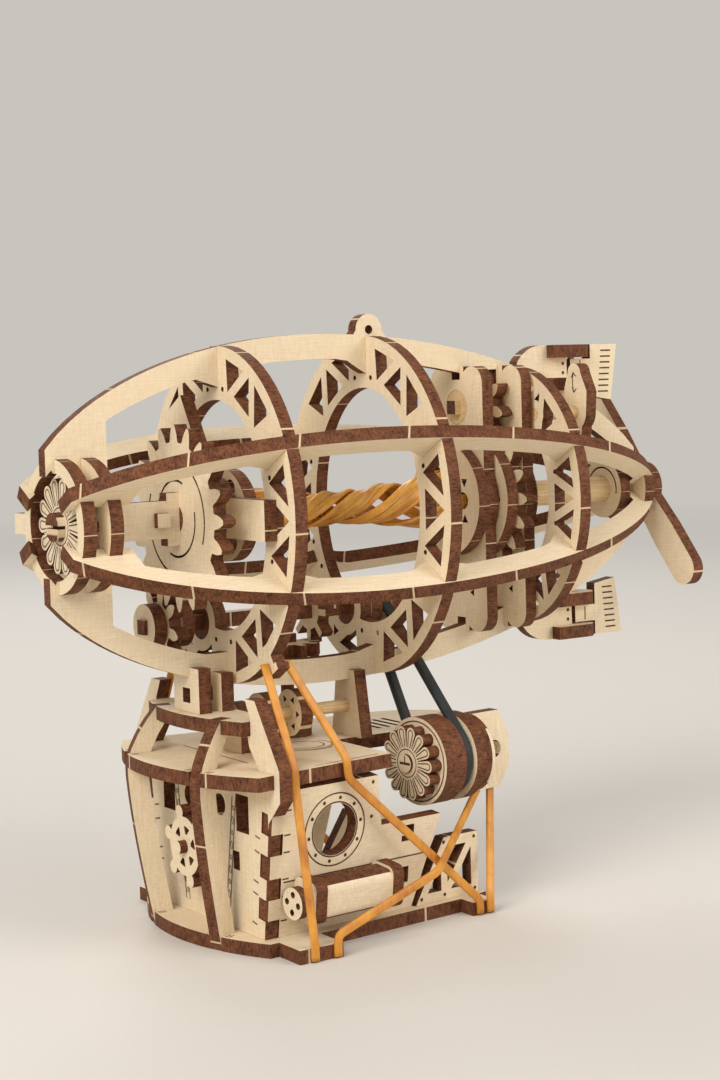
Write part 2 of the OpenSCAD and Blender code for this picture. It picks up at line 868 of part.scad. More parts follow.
// Pinion with a square hole, turned so that its teeth meet a gear's gaps
module pinion_2d(n, toward, gear_teeth) {
  tooth = 360 / gear_teeth;
  off = toward - tooth * round(toward / tooth);
  difference() {
    rotate(toward + 180 + 180 / n + off * gear_teeth / n) gear_2d(n);
    square(square_w + 2 * fit, center = true);
  }
}

module upper_pinion() {
  color(pale) on_axis() translate([0, 0, upper_z]) plate_x(rear_gear_x)
    pinion_2d(upper_teeth, 90, rear_teeth);
}

module lower_axle() {
  from = collar_x[0] - 0.8;
  color(honey) on_axis() translate([0, lower_y, lower_z]) {
    translate([from, -square_w / 2, -square_w / 2])
      cube([belt_x + 1.35 + ply + 1 - from, square_w, square_w]);
    for (x = [ring_front_x, ring_middle_x]) translate([x, 0, 0]) rotate([0, 90, 0])
      cylinder(r = bush_r, h = ply);
  }
}

module front_pinion() {
  toward = atan2(lower_z, lower_y);
  color(pale) on_axis() translate([0, lower_y, lower_z]) plate_x(front_gear_x)
    pinion_2d(pinion_teeth, toward, front_teeth);
}

module square_disc_2d(r) {
  difference() {
    circle(r);
    square(square_w + 2 * fit, center = true);
  }
}

module shaft_collars() {
  color(cream) on_axis() translate([0, lower_y, lower_z])
    for (x = collar_x) plate_x(x) square_disc_2d(5);
}

// Wheel with straight pegs for teeth
module peg_teeth_2d(n, r, root, w) {
  circle(root);
  for (i = [0 : n - 1]) rotate(i * 360 / n) translate([0, -w / 2]) square([r, w]);
}

module peg_wheel() {
  color(cream) on_axis() translate([0, lower_y, lower_z]) plate_x(peg_x) difference() {
    rotate(-90) peg_teeth_2d(peg_teeth, peg_r + 1, peg_r - 2, 1.5);
    square(square_w + 2 * fit, center = true);
  }
}

module upper_pulley() {
  color(cream) on_axis() translate([0, lower_y, lower_z]) {
    plate_x(belt_x - 1.35 - ply) square_disc_2d(5.2);
    plate_x(belt_x - 1.35, 2.7) square_disc_2d(belt_top_r - belt_r - 0.15);
    plate_x(belt_x + 1.35) square_disc_2d(5.2);
  }
}

// Level wheel driven by the peg wheel, on its upright axle down to the roof
module crown_wheel() {
  color(cream) on_axis() translate([crown_x, lower_y, crown_z - ply]) {
    linear_extrude(ply) rotate(180 / crown_teeth) peg_teeth_2d(crown_teeth, crown_r, crown_r - 2.4, 1.7);
    translate([0, 0, ply - eps]) linear_extrude(2) square([4.4, 1.8], center = true);
    translate([0, 0, roof_top - axis_z - crown_z + ply + 0.3])
      cylinder(r = 1.5, h = axis_z + crown_z - ply - roof_top);
  }
}

module stop_lever() {
  color(cream) on_axis() plate_x(lever_x) translate([lever_y, lever_z]) difference() {
    union() {
      circle(4.2);
      outline([[-4.2, -0.6], [-4.6, 5], [-2.4, 9.4], [2.2, 9.4], [3.4, 6], [4.1, -0.6]]);
      translate([-0.1, 9.2]) circle(2.3);
      outline([[-3.4, 1], [3.4, 1], [1.2, -6.5], [-2.2, -6.5]]);
    }
    circle(pin_r + running);
  }
}

module idler_axle() {
  color(honey) translate([bracket_x, 0, idler_z]) rotate([0, 90, 0])
    cylinder(r = idler_r, h = post_x + ply - bracket_x);
}

module spoked_wheel() {
  color(cream) translate([0, 0, idler_z]) for (x = [-17, -9]) plate_x(x) difference() {
    circle(spoke_r);
    circle(idler_r + fit);
    if (x > -10) for (i = [0 : 5]) rotate(i * 60) translate([3.35, 0]) circle(0.95, $fn = 3);
  }
}

// Plan of the rounded front: from the foremost point back to a half width
function bow(nose_x, half, count) =
  [for (i = [-count : count])
    let (y = half * i / count)
    [nose_x + bow_r - sqrt(bow_r * bow_r - y * y), y]];

module base_plate() {
  front = bow(base_nose_x, base_half, 12);
  color(cream) plate_z(0) difference() {
    union() {
      outline(concat(front, [[front_tab_x[1], base_half - 0.8], [rear_tab_x[0], base_half - 5],
        [stern_x, base_half - 7], [stern_x, -base_half + 7], [rear_tab_x[0], -base_half + 5],
        [front_tab_x[1], -base_half + 0.8]]));
      for (s = [-1, 1]) {
        translate([front_tab_x[0], s > 0 ? base_half - 3 : -base_half - tab_out])
          square([front_tab_x[1] - front_tab_x[0], tab_out + 3]);
        translate([rear_tab_x[0], s > 0 ? 0 : -rear_tab_y])
          square([rear_tab_x[1] - rear_tab_x[0], rear_tab_y]);
      }
    }
    rib_slots_2d(base_nose_x - roof_nose_x);
  }
}

// Notches in a level plate's rounded front for the cockpit ribs
module rib_slots_2d(inset) {
  for (a = rib_bow_angle) translate([roof_nose_x + bow_r, 0]) rotate(180 + a)
    translate([bow_r - inset - 3.2, -ply / 2 - fit]) square([12, ply + 2 * fit]);
}

module main_roof() {
  front = bow(roof_nose_x, roof_half, 12);
  color(cream) translate([crown_x, lower_y, roof_top - eps]) difference() {
    cylinder(r = 5.2, h = ply);
    translate([0, 0, -1]) cylinder(r = 1.5 + running, h = 6);
  }
  color(cream) plate_z(roof_z) difference() {
    outline(concat(front, [[notch_x, roof_waist], [24, roof_waist], [roof_end - 8, roof_waist - 4],
      [roof_end, roof_waist - 13], [roof_end, -notch_y], [notch_x, -notch_y], [notch_x, -roof_waist]]));
    rib_slots_2d(0);
    // Notches for the bulkhead's shoulders
    for (s = [0, 1]) mirror([0, s]) translate([bulkhead_x - fit, wing_seat - fit])
      square([ply + 2 * fit, roof_half]);
    // Vent slats behind the post
    for (i = [0 : 4]) translate([post_x + 8 + i * 2.6, 3]) square([1.1, 11]);
  }
}

module upper_deck() {
  color(cream) plate_z(deck_z) difference() {
    outline(concat(bow(deck_nose_x, deck_half, 10), [[bulkhead_x + ply, deck_half],
      [deck_back_x, deck_half - 3], [deck_back_x, -deck_half + 3], [bulkhead_x + ply, -deck_half]]));
    rib_slots_2d(deck_nose_x - roof_nose_x);
  }
}

// Cockpit rib outline: distance inward from the bow against height
module cockpit_rib_2d() {
  lean = base_nose_x - roof_nose_x;
  crown = deck_nose_x - roof_nose_x;
  outer = function (z) z < roof_z
    ? lean * pow(1 - z / roof_z, 1.4)
    : crown * pow((z - roof_z) / (deck_top - roof_z), 1.6);
  zs = [for (i = [0 : 16]) deck_top * i / 16];
  difference() {
    outline(concat(
      [for (z = zs) [outer(z), z]],
      [for (i = [16 : -1 : 0]) [outer(zs[i]) + cockpit_depth, zs[i]]]
    ));
    for (z = [0, roof_z, deck_z]) {
      seat = z == 0 ? lean + 3.2 : z == roof_z ? 3.2 : crown + 3.2;
      translate([seat - fit, z - fit]) square([10, ply + 2 * fit]);
    }
  }
}

module cockpit_ribs() {
  color(honey) for (a = rib_bow_angle) translate([roof_nose_x + bow_r, 0, 0]) rotate([0, 0, a])
    translate([-bow_r, 0, 0]) plate_y(-ply / 2) cockpit_rib_2d();
}

// Near side wall with its fingers for the bulkhead: length along it against height
module wall_2d() {
  shelf = wall_h - wall_step;
  for (f = finger_v) translate([-ply, f[0]]) square([ply + 1, f[1]]);
  difference() {
    outline([[0, 0], [36, 0], [43, shelf], [26.3, shelf], [24.8, wall_h - 0.6], [0, wall_h - 0.6]]);
    translate([13.6, 21.3]) circle(porthole_r);
    translate([32.2, shelf - 4.8]) square([3.4, 3.6]);
    translate([31.2, 6]) square([3.4, 3.6]);
  }
}

// Distance of the walls' outside from the middle at a height, at the bulkhead
function wall_out(z) = wall_y + tan(wall_lean) * (z - roof_z - ply - 0.4) + ply / cos(wall_lean);

// Frame of the near wall: along it, up it and out of it
module in_wall() {
  foot_y = wall_y - tan(wall_lean) * roof_z;
  translate([wall_front_x + ply + 0.1, -foot_y, ply + 0.4]) rotate([90 + wall_lean, 0, wall_taper]) children();
}

module wall() {
  in_wall() linear_extrude(ply) wall_2d();
}

module near_wall() {
  color(pale) wall();
}

module far_wall() {
  color(pale) mirror([0, 1, 0]) wall();
}

// Half outline of the bulkhead: up the wall, out to the shoulder, up the wing and back under the roof
function bulkhead_half() = [
  [wall_out(ply), ply + fit], [wall_out(28), 28], [shoulder_y, 33], [shoulder_y, roof_top + 1],
  [deck_half + 2, wing_top], [deck_half - 2, wing_top], [deck_half + fit, deck_top + 0.5],
  [deck_half + fit, deck_z - fit], [deck_half - 1.3, deck_z - fit], [deck_half - 0.7, deck_z - 2.4],
  [deck_half + 3.1, roof_top + fit], [wing_seat, roof_top + fit], [wing_seat, roof_z - fit]
];

module bulkhead() {
  color(pale) {
    difference() {
      plate_x(bulkhead_x) difference() {
        for (s = [0, 1]) mirror([s, 0])
          outline(concat([[0, ply + fit]], bulkhead_half(), [[0, roof_z - fit]]));
        for (s = [-1, 1]) {
          translate([s * 16 - 2.6, 24.4]) square([5.2, 8]);
          translate([s * 13 - 1.3, 16]) square([2.6, 4]);
          translate([s * 6.5, 29]) circle(2.4);
        }
      }
      both_sides() in_wall() for (f = finger_v) translate([-ply - 0.6, f[0] - fit, -fit])
        cube([ply + 0.8, f[1] + 2 * fit, 3 * ply]);
    }
    translate([bulkhead_x + eps, helm_y, helm_z]) rotate([0, -90, 0]) cylinder(r = 1.4, h = 6);
  }
}

module helm_wheel() {
  color(cream) translate([0, helm_y, helm_z]) plate_x(bulkhead_x - 4.2) difference() {
    union() {
      difference() {
        circle(helm_r * 0.72);
        circle(helm_r * 0.5);
      }
      for (i = [0 : 5]) rotate(i * 60 + 15) {
        translate([0, -1.1]) square([helm_r - 1.5, 2.2]);
        translate([helm_r - 1.5, 0]) circle(1.5);
      }
      circle(2.8);
    }
    circle(1.4 + running);
  }
}

module stern_truss() {
  end = stern_x - truss_x - 2;
  color(cream) both_sides() translate([truss_x, -18.2, ply + fit]) rotate([90, 0, wall_taper])
    linear_extrude(ply) difference() {
    outline([[0, 0], [end, 0], [end, truss_h], [truss_h * 0.6, truss_h]]);
    outline([[3.4, 2.2], [7.4, 2.2], [7.4, 8.4]]);
    outline([[9.2, 3.8], [9.2, truss_h - 2.2], [end - 3.4, truss_h - 2.2]]);
    outline([[10.2, 2.2], [end - 2, 2.2], [end - 2, truss_h - 3.2]]);
  }
}

// Plates that hold the envelope over the upper deck
module cradle_plates() {
  color(cream) for (i = [0, 1]) plate_x(cradle_x[i]) {
    rib_low = axis_z - env_r(cradle_x[i]);
    difference() {
      union() {
        translate([-cradle_half, deck_top + fit])
          square([2 * cradle_half, rib_low + 2 * cradle_lap - deck_top - fit]);
      }
      translate([-ply / 2 - fit, rib_low + cradle_lap]) square([ply + 2 * fit, 20]);
      translate([-1.6, deck_top + 2]) square(3.2);
    }
  }
  // Bracket for the idler's front end
  color(cream) plate_x(bracket_x) difference() {
    union() {
      translate([-4, roof_top + fit]) square([8, idler_z - roof_top]);
      translate([0, idler_z]) circle(4);
    }
    translate([0, idler_z]) circle(idler_r + running);
  }
}

module rear_post() {
  rib_low = axis_z - env_r(post_x);
  color(cream) plate_x(post_x) difference() {
    outline([[-6, roof_top + fit], [6, roof_top + fit], [3.6, rib_low + 2 * cradle_lap],
      [-3.6, rib_low + 2 * cradle_lap]]);
    translate([-ply / 2 - fit, rib_low + cradle_lap]) square([ply + 2 * fit, 20]);
    translate([0, idler_z]) circle(idler_r + running);
  }
}

// Cross-section with rounded corners: height up the wall against distance out of it
module tank_2d(h, t) {
  for (s = [-1, 1], e = [-1, 1]) translate([s * (h / 2 - corner_r), e * (t / 2 - corner_r)]) circle(corner_r);
  square([h, t - 2 * corner_r], center = true);
  square([h - 2 * corner_r, t], center = true);
}

// Piece that runs along the wall on its outside
module along_wall(from, length) {
  in_wall() translate([from, tank_up, ply + strap_t / 2]) rotate([90, 0, 90])
    linear_extrude(length) children();
}

module side_tanks() {
  color(pale) both_sides() along_wall(tank_from, tank_len) tank_2d(strap_h - 1.2, strap_t - 0.6);
}

module tank_straps() {
  color(honey) both_sides() for (u = [tank_from - ply, tank_from + tank_len]) along_wall(u, ply) difference() {
    tank_2d(strap_h, strap_t);
    circle(valve_r + fit);
  }
}

module valve_wheels() {
  color(honey) both_sides() {
    along_wall(tank_from - ply - 3.2, 2) difference() {
      circle(3.4);
      for (i = [0 : 3]) rotate(i * 90) translate([1.9, 0]) circle(0.7);
    }
    along_wall(tank_from - ply - 1.2 - eps, 3) circle(valve_r);
  }
}

module at_turbine() {
  translate([turbine_x, -turbine_y, turbine_z]) rotate([0, 0, turbine_yaw]) children();
}

module turbine_fan() {
  color(pale) at_turbine() plate_x(0) difference() {
    fan_2d(turbine_fan_r, 3.8);
    circle(turbine_pin_r + fit);
  }
}

module turbine_pulley() {
  color(cream) at_turbine() {
    translate([ply, 0, 0]) rotate([0, 90, 0]) {
      cylinder(r = flange_r, h = 2 * ply);
      cylinder(r = belt_low_r - belt_r - 0.15, h = 4 * ply);
      translate([0, 0, 3 * ply]) cylinder(r = flange_r, h = ply);
      translate([0, 0, -ply - 0.6]) cylinder(r = turbine_pin_r, h = 6 * ply + 0.6);
    }
  }
}

// Bracket behind the turbine, held by the roof
module pod_bracket() {
  tail_from = 6 * ply + 0.4;
  color(pale) at_turbine() {
    plate_x(5 * ply + 0.4) difference() {
      union() {
        circle(pod_r);
        translate([0, -pod_r]) square([turbine_y + 4 - notch_y, pod_r + roof_z - turbine_z - fit]);
      }
      circle(turbine_pin_r + running);
      translate([5.4, -4.4]) circle(1.6);
    }
    // Tail plate
    plate_y(-ply / 2) difference() {
      outline([[tail_from - eps, -pod_r], [tail_from + 8, -pod_r], [tail_from + pod_tail, -4],
        [tail_from + pod_tail, 3], [tail_from + 8, pod_r], [tail_from - eps, pod_r]]);
      translate([tail_from + 6.5, 0]) circle(2);
    }
  }
}

// Rubber bands that tie the envelope to the gondola
module band(a, b) {
  d = b - a;
  length = norm(d);
  translate(a) rotate([0, acos(d[2] / length), atan2(d[1], d[0])])
    translate([-band_w / 2, -band_t / 2, 0]) cube([band_w, band_t, length]);
}

// Half width of the roof's edge at a place behind its front corner
function roof_edge(x) =
  let (corner = roof_nose_x + bow_r - sqrt(bow_r * bow_r - roof_half * roof_half))
  roof_half + (roof_waist - roof_half) * (x - corner) / (notch_x - corner);

// Point under the turbine's axis at a distance behind its front and a height above the table
function pod_point(x, z) = [turbine_x + x * cos(turbine_yaw), x * sin(turbine_yaw) - turbine_y, z];

module lashings() {
  share = env_share(148);
  peg_rim = env_r(ring_front_x + ply / 2) * share + 1;
  peg_y = -sin(148) * peg_rim;
  peg_z = axis_z + cos(148) * peg_rim;
  front_y = -base_half - tab_out - band_t / 2 - fit;
  rear_y = -rear_tab_y - band_t / 2 - fit;
  side = band_t / 2 + 0.5;
  tab_top = ply + 0.4;
  front_x = ring_front_x - band_w / 2 - fit;
  rear_x = ring_front_x + ply + band_w / 2 + fit;
  bend_x = notch_x - 13;
  rear_foot = rear_tab_x[0] + 1.6;
  color(amber) both_sides() {
    band([front_x, peg_y, peg_z], [front_x, -roof_edge(front_x) - side, roof_top + 0.7]);
    band([front_x, -roof_edge(front_x) - side, roof_top + 1], [front_x, -roof_edge(front_x) - side, roof_z - 0.4]);
    band([front_x, -roof_edge(front_x) - side, roof_z], [front_x, front_y, tab_top]);
    band([front_x, front_y, tab_top + 0.3], [front_x, front_y, 0.4]);
    band([rear_x, peg_y, peg_z], [bend_x, -roof_edge(bend_x) - side, roof_top + 0.7]);
    band([bend_x, -roof_edge(bend_x) - side, roof_top + 1], [bend_x, -roof_edge(bend_x) - side, roof_z - 0.4]);
    band([bend_x, -roof_edge(bend_x) - side, roof_z], [rear_foot, rear_y, tab_top]);
    band([rear_foot, rear_y, tab_top + 0.3], [rear_foot, rear_y, 0.4]);
  }
  // Bands of the near side that pull the pod's tail down to the base
  low_x = front_tab_x[1] - 1.6;
  tail_x = rear_tab_x[1] - 1.4;
  under_tail = turbine_z - pod_r - 1.2;
  out = [turbine_x - 2.5, -base_half - 4.5, 13];
  color(amber) {
    band([low_x, front_y, 0.4], [low_x, front_y, tab_top + 1.7]);
    band([low_x, front_y, tab_top + 1.4], out);
    band(out, pod_point(20.8, under_tail));
    band([tail_x, rear_y, 0.4], [tail_x, rear_y, tab_top + 1.7]);
    band([tail_x, rear_y, tab_top + 1.4], pod_point(24.6, under_tail));
  }
}

// Closed path of the belt over both pulleys
function belt_path() =
  let (
    top = [belt_x, lower_y, axis_z + lower_z],
    groove = 3.5 * ply,
    low = [turbine_x + groove * cos(turbine_yaw), -turbine_y + groove * sin(turbine_yaw), turbine_z],
    dy = low[1] - top[1],
    dz = low[2] - top[2],
    run = sqrt(dy * dy + dz * dz),
    heading = atan2(dz, dy),
    spread = asin((belt_low_r - belt_top_r) / run),
    low_side = [-sin(turbine_yaw), cos(turbine_yaw), 0]
  )
  concat(
    [for (i = [0 : 10])
      let (t = heading + 90 + spread + (180 - 2 * spread) * i / 10)
      top + belt_top_r * (cos(t) * [0, 1, 0] + sin(t) * [0, 0, 1])],
    [for (i = [0 : 14])
      let (t = heading - 90 - spread + (180 + 2 * spread) * i / 14)
      low + belt_low_r * (cos(t) * low_side + sin(t) * [0, 0, 1])]
  );

module drive_belt() {
  color(black) tube(belt_path(), belt_r, 8, true);
}

front_ring();
middle_ring();
rear_ring();
top_rib();
bottom_rib();
side_ribs();
nose_ring();
nose_bearing();
front_bearing();
gearbox_front();
gearbox_back();
tail_cap();
top_fin();
bottom_fin();
pivot_pins();
nose_fan();
nose_shaft();
front_gear();
front_hook();
rubber_motor();
rear_hook();
rear_disc();
rear_gear();
rear_axle();
tail_disc();
propeller();
upper_axle();
upper_pinion();
lower_axle();
front_pinion();
shaft_collars();
peg_wheel();
upper_pulley();
crown_wheel();
stop_lever();
top_rudder();
bottom_rudder();
idler_axle();
spoked_wheel();
base_plate();
main_roof();
upper_deck();
cockpit_ribs();
bulkhead();
near_wall();
far_wall();
stern_truss();
cradle_plates();
rear_post();
hinge_plates();
side_tanks();
tank_straps();
pod_bracket();
helm_wheel();
turbine_fan();
turbine_pulley();
valve_wheels();
lashings();
drive_belt();
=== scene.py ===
"""Looks of a plywood airship model: laser-cut birch, engraving, rubber motor, lashings, belt and stage."""

import math

import bmesh
import bpy
from mathutils import Matrix, Vector


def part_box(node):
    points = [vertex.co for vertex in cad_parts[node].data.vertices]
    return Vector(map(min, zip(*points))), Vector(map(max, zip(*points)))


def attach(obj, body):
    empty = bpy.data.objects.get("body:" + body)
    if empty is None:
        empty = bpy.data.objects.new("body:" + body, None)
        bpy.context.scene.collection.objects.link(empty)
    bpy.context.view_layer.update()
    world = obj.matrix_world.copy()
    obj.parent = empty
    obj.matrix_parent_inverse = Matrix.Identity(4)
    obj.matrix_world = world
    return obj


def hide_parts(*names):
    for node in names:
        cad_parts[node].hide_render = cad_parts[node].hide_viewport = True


bl_info = {
    "name": "Plywood airship model",
    "version": (1, 0, 0),
    "blender": (4, 5, 0),
    "location": "View3D > Sidebar > Airship",
    "description": "Dresses a laser-cut plywood airship model and sets up its studio",
    "category": "Object",
}

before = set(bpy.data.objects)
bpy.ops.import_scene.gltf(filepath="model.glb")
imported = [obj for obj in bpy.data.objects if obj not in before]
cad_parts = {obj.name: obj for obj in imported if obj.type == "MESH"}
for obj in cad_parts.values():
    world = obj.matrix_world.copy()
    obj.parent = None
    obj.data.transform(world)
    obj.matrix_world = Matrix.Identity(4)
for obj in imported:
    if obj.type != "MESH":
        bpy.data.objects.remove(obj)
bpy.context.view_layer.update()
BIRCH, AMBER, BLACK = "birch_ply", "amber_rubber", "black_rubber"
MM = 0.001

# Sizes in millimetres, as in the part's source
PLY = 3.0
AXIS_Z = 90.0
ENVELOPE_R = 38.5
ENVELOPE_FLAT = 0.855
NOSE_REACH = 72.5
FRONT_RING_X = -23.5
ROOF_TOP = 38.5
ROOF_FRONT, ROOF_RUN, ROOF_HALF, ROOF_NARROWS = -34.9, 35.9, 30, 5
WALL_CORNER = (-27.9, -20.641, 3.4)
TURBINE = (10.5, -17.0, 34.0)
TURBINE_YAW = math.radians(6)
GROOVE_X = 10.5
POD_TAIL = 28.85
SHAFT_Y, SHAFT_GAP = 10.0, 1.84 * 14
UPPER_PULLEY_X = 21.35

# Widths of the engraved lines that differ from the usual one, in metres
CHAIN_W, TICK_W, ARROW_W = 0.2 * MM, 0.36 * MM, 0.3 * MM
PETAL_W, HUB_W, SLOT_W, SPLIT_W = 0.26 * MM, 0.24 * MM, 0.6 * MM, 0.35 * MM

# Plates by the direction that their faces look
PLATES = {
    "x": ["front_ring", "middle_ring", "rear_ring", "nose_ring", "nose_bearing", "front_bearing",
          "gearbox_front", "gearbox_back", "tail_cap", "nose_fan", "front_gear", "front_hook", "rear_hook",
          "rear_disc", "rear_gear", "tail_disc", "propeller", "upper_pinion", "front_pinion", "shaft_collars",
          "peg_wheel", "upper_pulley", "stop_lever", "spoked_wheel", "bulkhead", "cradle_plates", "rear_post",
          "helm_wheel", "turbine_fan", "turbine_pulley", "tank_straps", "valve_wheels"],
    "y": ["nose_shaft", "top_rib", "bottom_rib", "top_fin", "bottom_fin", "top_rudder", "bottom_rudder",
          "near_wall", "far_wall", "stern_truss", "side_tanks"],
    "bow": ["cockpit_ribs"],
    "z": ["base_plate", "main_roof", "upper_deck", "crown_wheel", "hinge_plates", "lower_axle"],
    "pod": ["pod_bracket"],
    "rib": ["side_ribs"],
}
GRAINS = {"x": "z", "y": "x", "bow": "z", "z": "x", "rib": "x", "pod": "z"}
STICKS = ["rear_axle", "upper_axle", "idler_axle", "pivot_pins"]


def linear(value):
    """Turns an sRGB hex colour into linear RGBA."""
    parts = [int(value[i:i + 2], 16) / 255 for i in (1, 3, 5)]
    return tuple(c / 12.92 if c <= 0.04045 else ((c + 0.055) / 1.055) ** 2.4 for c in parts) + (1.0,)


def colour(name, about, value):
    """Colour property with an sRGB default."""
    return bpy.props.FloatVectorProperty(name=name, description=about, subtype="COLOR", size=4,
                                         min=0.0, max=1.0, default=linear(value))


def length(name, about, mm):
    """Length property whose default is given in millimetres."""
    return bpy.props.FloatProperty(name=name, description=about, default=mm * MM, subtype="DISTANCE",
                                   unit="LENGTH", precision=5)


class AirshipLooks(bpy.types.PropertyGroup):
    """Sizes and colours of the airship's finish."""

    face_light: colour("Birch, light", "Lightest colour of the sanded birch face", "#EEDFC5")
    face_dark: colour("Birch, dark", "Darkest grain of the birch face", "#D9C3A0")
    face_warm: colour("Birch, warm", "Clouds where the veneer is warmer", "#E6D3B1")
    edge_light: colour("Burnt edge, light", "Paler streaks of the laser-cut edge", "#885639")
    edge_dark: colour("Burnt edge, dark", "Darkest streaks of the laser-cut edge", "#3B2116")
    bridge: colour("Bridge mark", "Pale wood where a holding bridge was broken", "#E3CDA9")
    stick_light: colour("Stick, light", "Lightest colour of the axle sticks", "#E6CC9F")
    stick_dark: colour("Stick, dark", "Darkest grain of the axle sticks", "#D0AC76")
    engraved: colour("Engraving", "Burnt line drawn by the laser", "#3B2417")
    engraved_pale: colour("Engraving, pale", "Places where the burnt line is fainter", "#6B4730")
    rubber: colour("Amber rubber", "Body colour of the latex bands", "#DB9A35")
    rubber_deep: colour("Amber rubber, deep", "Thick places of the latex bands", "#B4701C")
    belt: colour("Black rubber", "Body colour of the drive belt", "#1D2426")
    belt_worn: colour("Black rubber, worn", "Rubbed places of the drive belt", "#3C4547")
    floor: colour("Floor", "Plain pale studio floor", "#DCD8D2")
    backdrop: colour("Backdrop", "Plain tone behind the model", "#C8C4BE")
    sky: colour("Air", "Even light from all round", "#F4F2EE")
    line_w: length("Line width", "Width of an engraved line", 0.32)
    proud: length("Line height", "How far an engraved line's skin stands over the face", 0.035)
    band_w: length("Band width", "Width of a lashing band", 1.9)
    band_t: length("Band thickness", "Thickness of a lashing band", 0.85)
    belt_w: length("Belt width", "Width of the drive belt", 2.55)
    belt_t: length("Belt thickness", "Thickness of the drive belt", 1.8)
    strand_w: length("Strand width", "Width of one rubber strip in the motor", 1.9)
    strand_t: length("Strand thickness", "Thickness of one rubber strip in the motor", 0.8)
    rivet_r: length("Rivet radius", "Radius of an engraved rivet dot", 0.42)


def looks():
    return bpy.context.scene.airship_looks


# Nodes

def feed(tree, node, inputs):
    """Sets or links a node's inputs."""
    for key, value in inputs.items():
        if isinstance(value, bpy.types.NodeSocket):
            tree.links.new(value, node.inputs[key])
        else:
            node.inputs[key].default_value = value


def add(tree, kind, inputs=None, **settings):
    """Adds a node with its settings and inputs."""
    node = tree.nodes.new(kind)
    for key, value in settings.items():
        setattr(node, key, value)
    feed(tree, node, inputs or {})
    return node


def calc(tree, operation, *values):
    """Result of a math node."""
    return add(tree, "ShaderNodeMath", dict(enumerate(values)), operation=operation).outputs[0]


def remap(tree, value, low=0.0, high=1.0, start=0.0, end=1.0):
    """Value taken from one range to another and kept inside it."""
    return add(tree, "ShaderNodeMapRange", {0: value, 1: low, 2: high, 3: start, 4: end}).outputs[0]


def blend(tree, share, first, second):
    """Colour between two colours."""
    return add(tree, "ShaderNodeMix", {0: share, 6: first, 7: second}, data_type="RGBA").outputs[2]


def bump(tree, height, strength, depth):
    """Normal of a relief whose depth is in millimetres."""
    return add(tree, "ShaderNodeBump", {0: strength, 1: depth * MM, "Height": height}).outputs[0]


def per_mm(*sizes):
    """Scale for a pattern whose features have these sizes in millimetres along X, Y and Z."""
    return tuple(1000.0 / s for s in sizes)


def stretched(axis, along, across):
    """Feature sizes that are long on one axis and short on the other two."""
    return tuple(along if a == axis else across for a in "xyz")


def noise(tree, spot, sizes, detail=2.0, rough=0.5):
    """Value of a noise whose features have these sizes in millimetres along X, Y and Z."""
    place = add(tree, "ShaderNodeMapping", {0: spot, 3: per_mm(*sizes)})
    return add(tree, "ShaderNodeTexNoise", {0: place.outputs[0], 2: 1.0, 3: detail, 4: rough}).outputs[0]


# Materials

def fresh_material(name):
    """New material with its node tree and its shader."""
    material = bpy.data.materials.new(name)
    material.use_nodes = True
    tree = material.node_tree
    return material, tree, tree.nodes["Principled BSDF"]


def face_mask(tree, spot, normal, axis):
    """1 on a plate's two big faces and 0 on its cut edges, from the object's own normals."""
    size = add(tree, "ShaderNodeVectorMath", {0: normal}, operation="ABSOLUTE")
    x, y, z = add(tree, "ShaderNodeSeparateXYZ", {0: size.outputs[0]}).outputs
    if axis == "rib":
        return calc(tree, "GREATER_THAN", calc(tree, "SUBTRACT", z, y), 0.0)
    if axis == "pod":
        # The tail plate behind the bracket looks to the side
        behind = add(tree, "ShaderNodeSeparateXYZ", {0: spot}).outputs[0]
        tail = calc(tree, "GREATER_THAN", behind, POD_TAIL * MM)
        part = calc(tree, "MAXIMUM", calc(tree, "MULTIPLY", tail, y), x)
    else:
        part = {"x": x, "y": y, "bow": y, "z": z}[axis]
    steepest = 0.72
    return calc(tree, "GREATER_THAN", part, steepest)


def bridge_ticks(tree, spot, axis):
    """Pale ticks, about 0.35 mm wide, where the sheet's holding bridges were snapped."""
    if axis in ("x", "pod"):
        # Nine to a turn about the envelope's axis
        place = add(tree, "ShaderNodeMapping", {0: spot, 1: (-AXIS_Z * MM, 0, 0), 2: (0, math.pi / 2, 0)})
        turn = add(tree, "ShaderNodeTexGradient", {0: place.outputs[0]}, gradient_type="RADIAL")
        count = calc(tree, "MULTIPLY_ADD", turn.outputs["Fac"], 9.0, 0.37)
    else:
        # Every 21 mm along a slightly turned axis
        tilt = {"y": (0, 0.25, 0), "bow": (0, 0, 0)}.get(axis, (0, 0, 0.7))
        place = add(tree, "ShaderNodeMapping", {0: spot, 2: tilt, 3: per_mm(21, 21, 21)})
        parts = add(tree, "ShaderNodeSeparateXYZ", {0: place.outputs[0]}).outputs
        count = calc(tree, "ADD", parts[2 if axis == "bow" else 0], 0.42)
    off = calc(tree, "ABSOLUTE", calc(tree, "SUBTRACT", calc(tree, "FRACT", count), 0.5))
    return remap(tree, off, 0.007, 0.011, 0.85, 0.0)


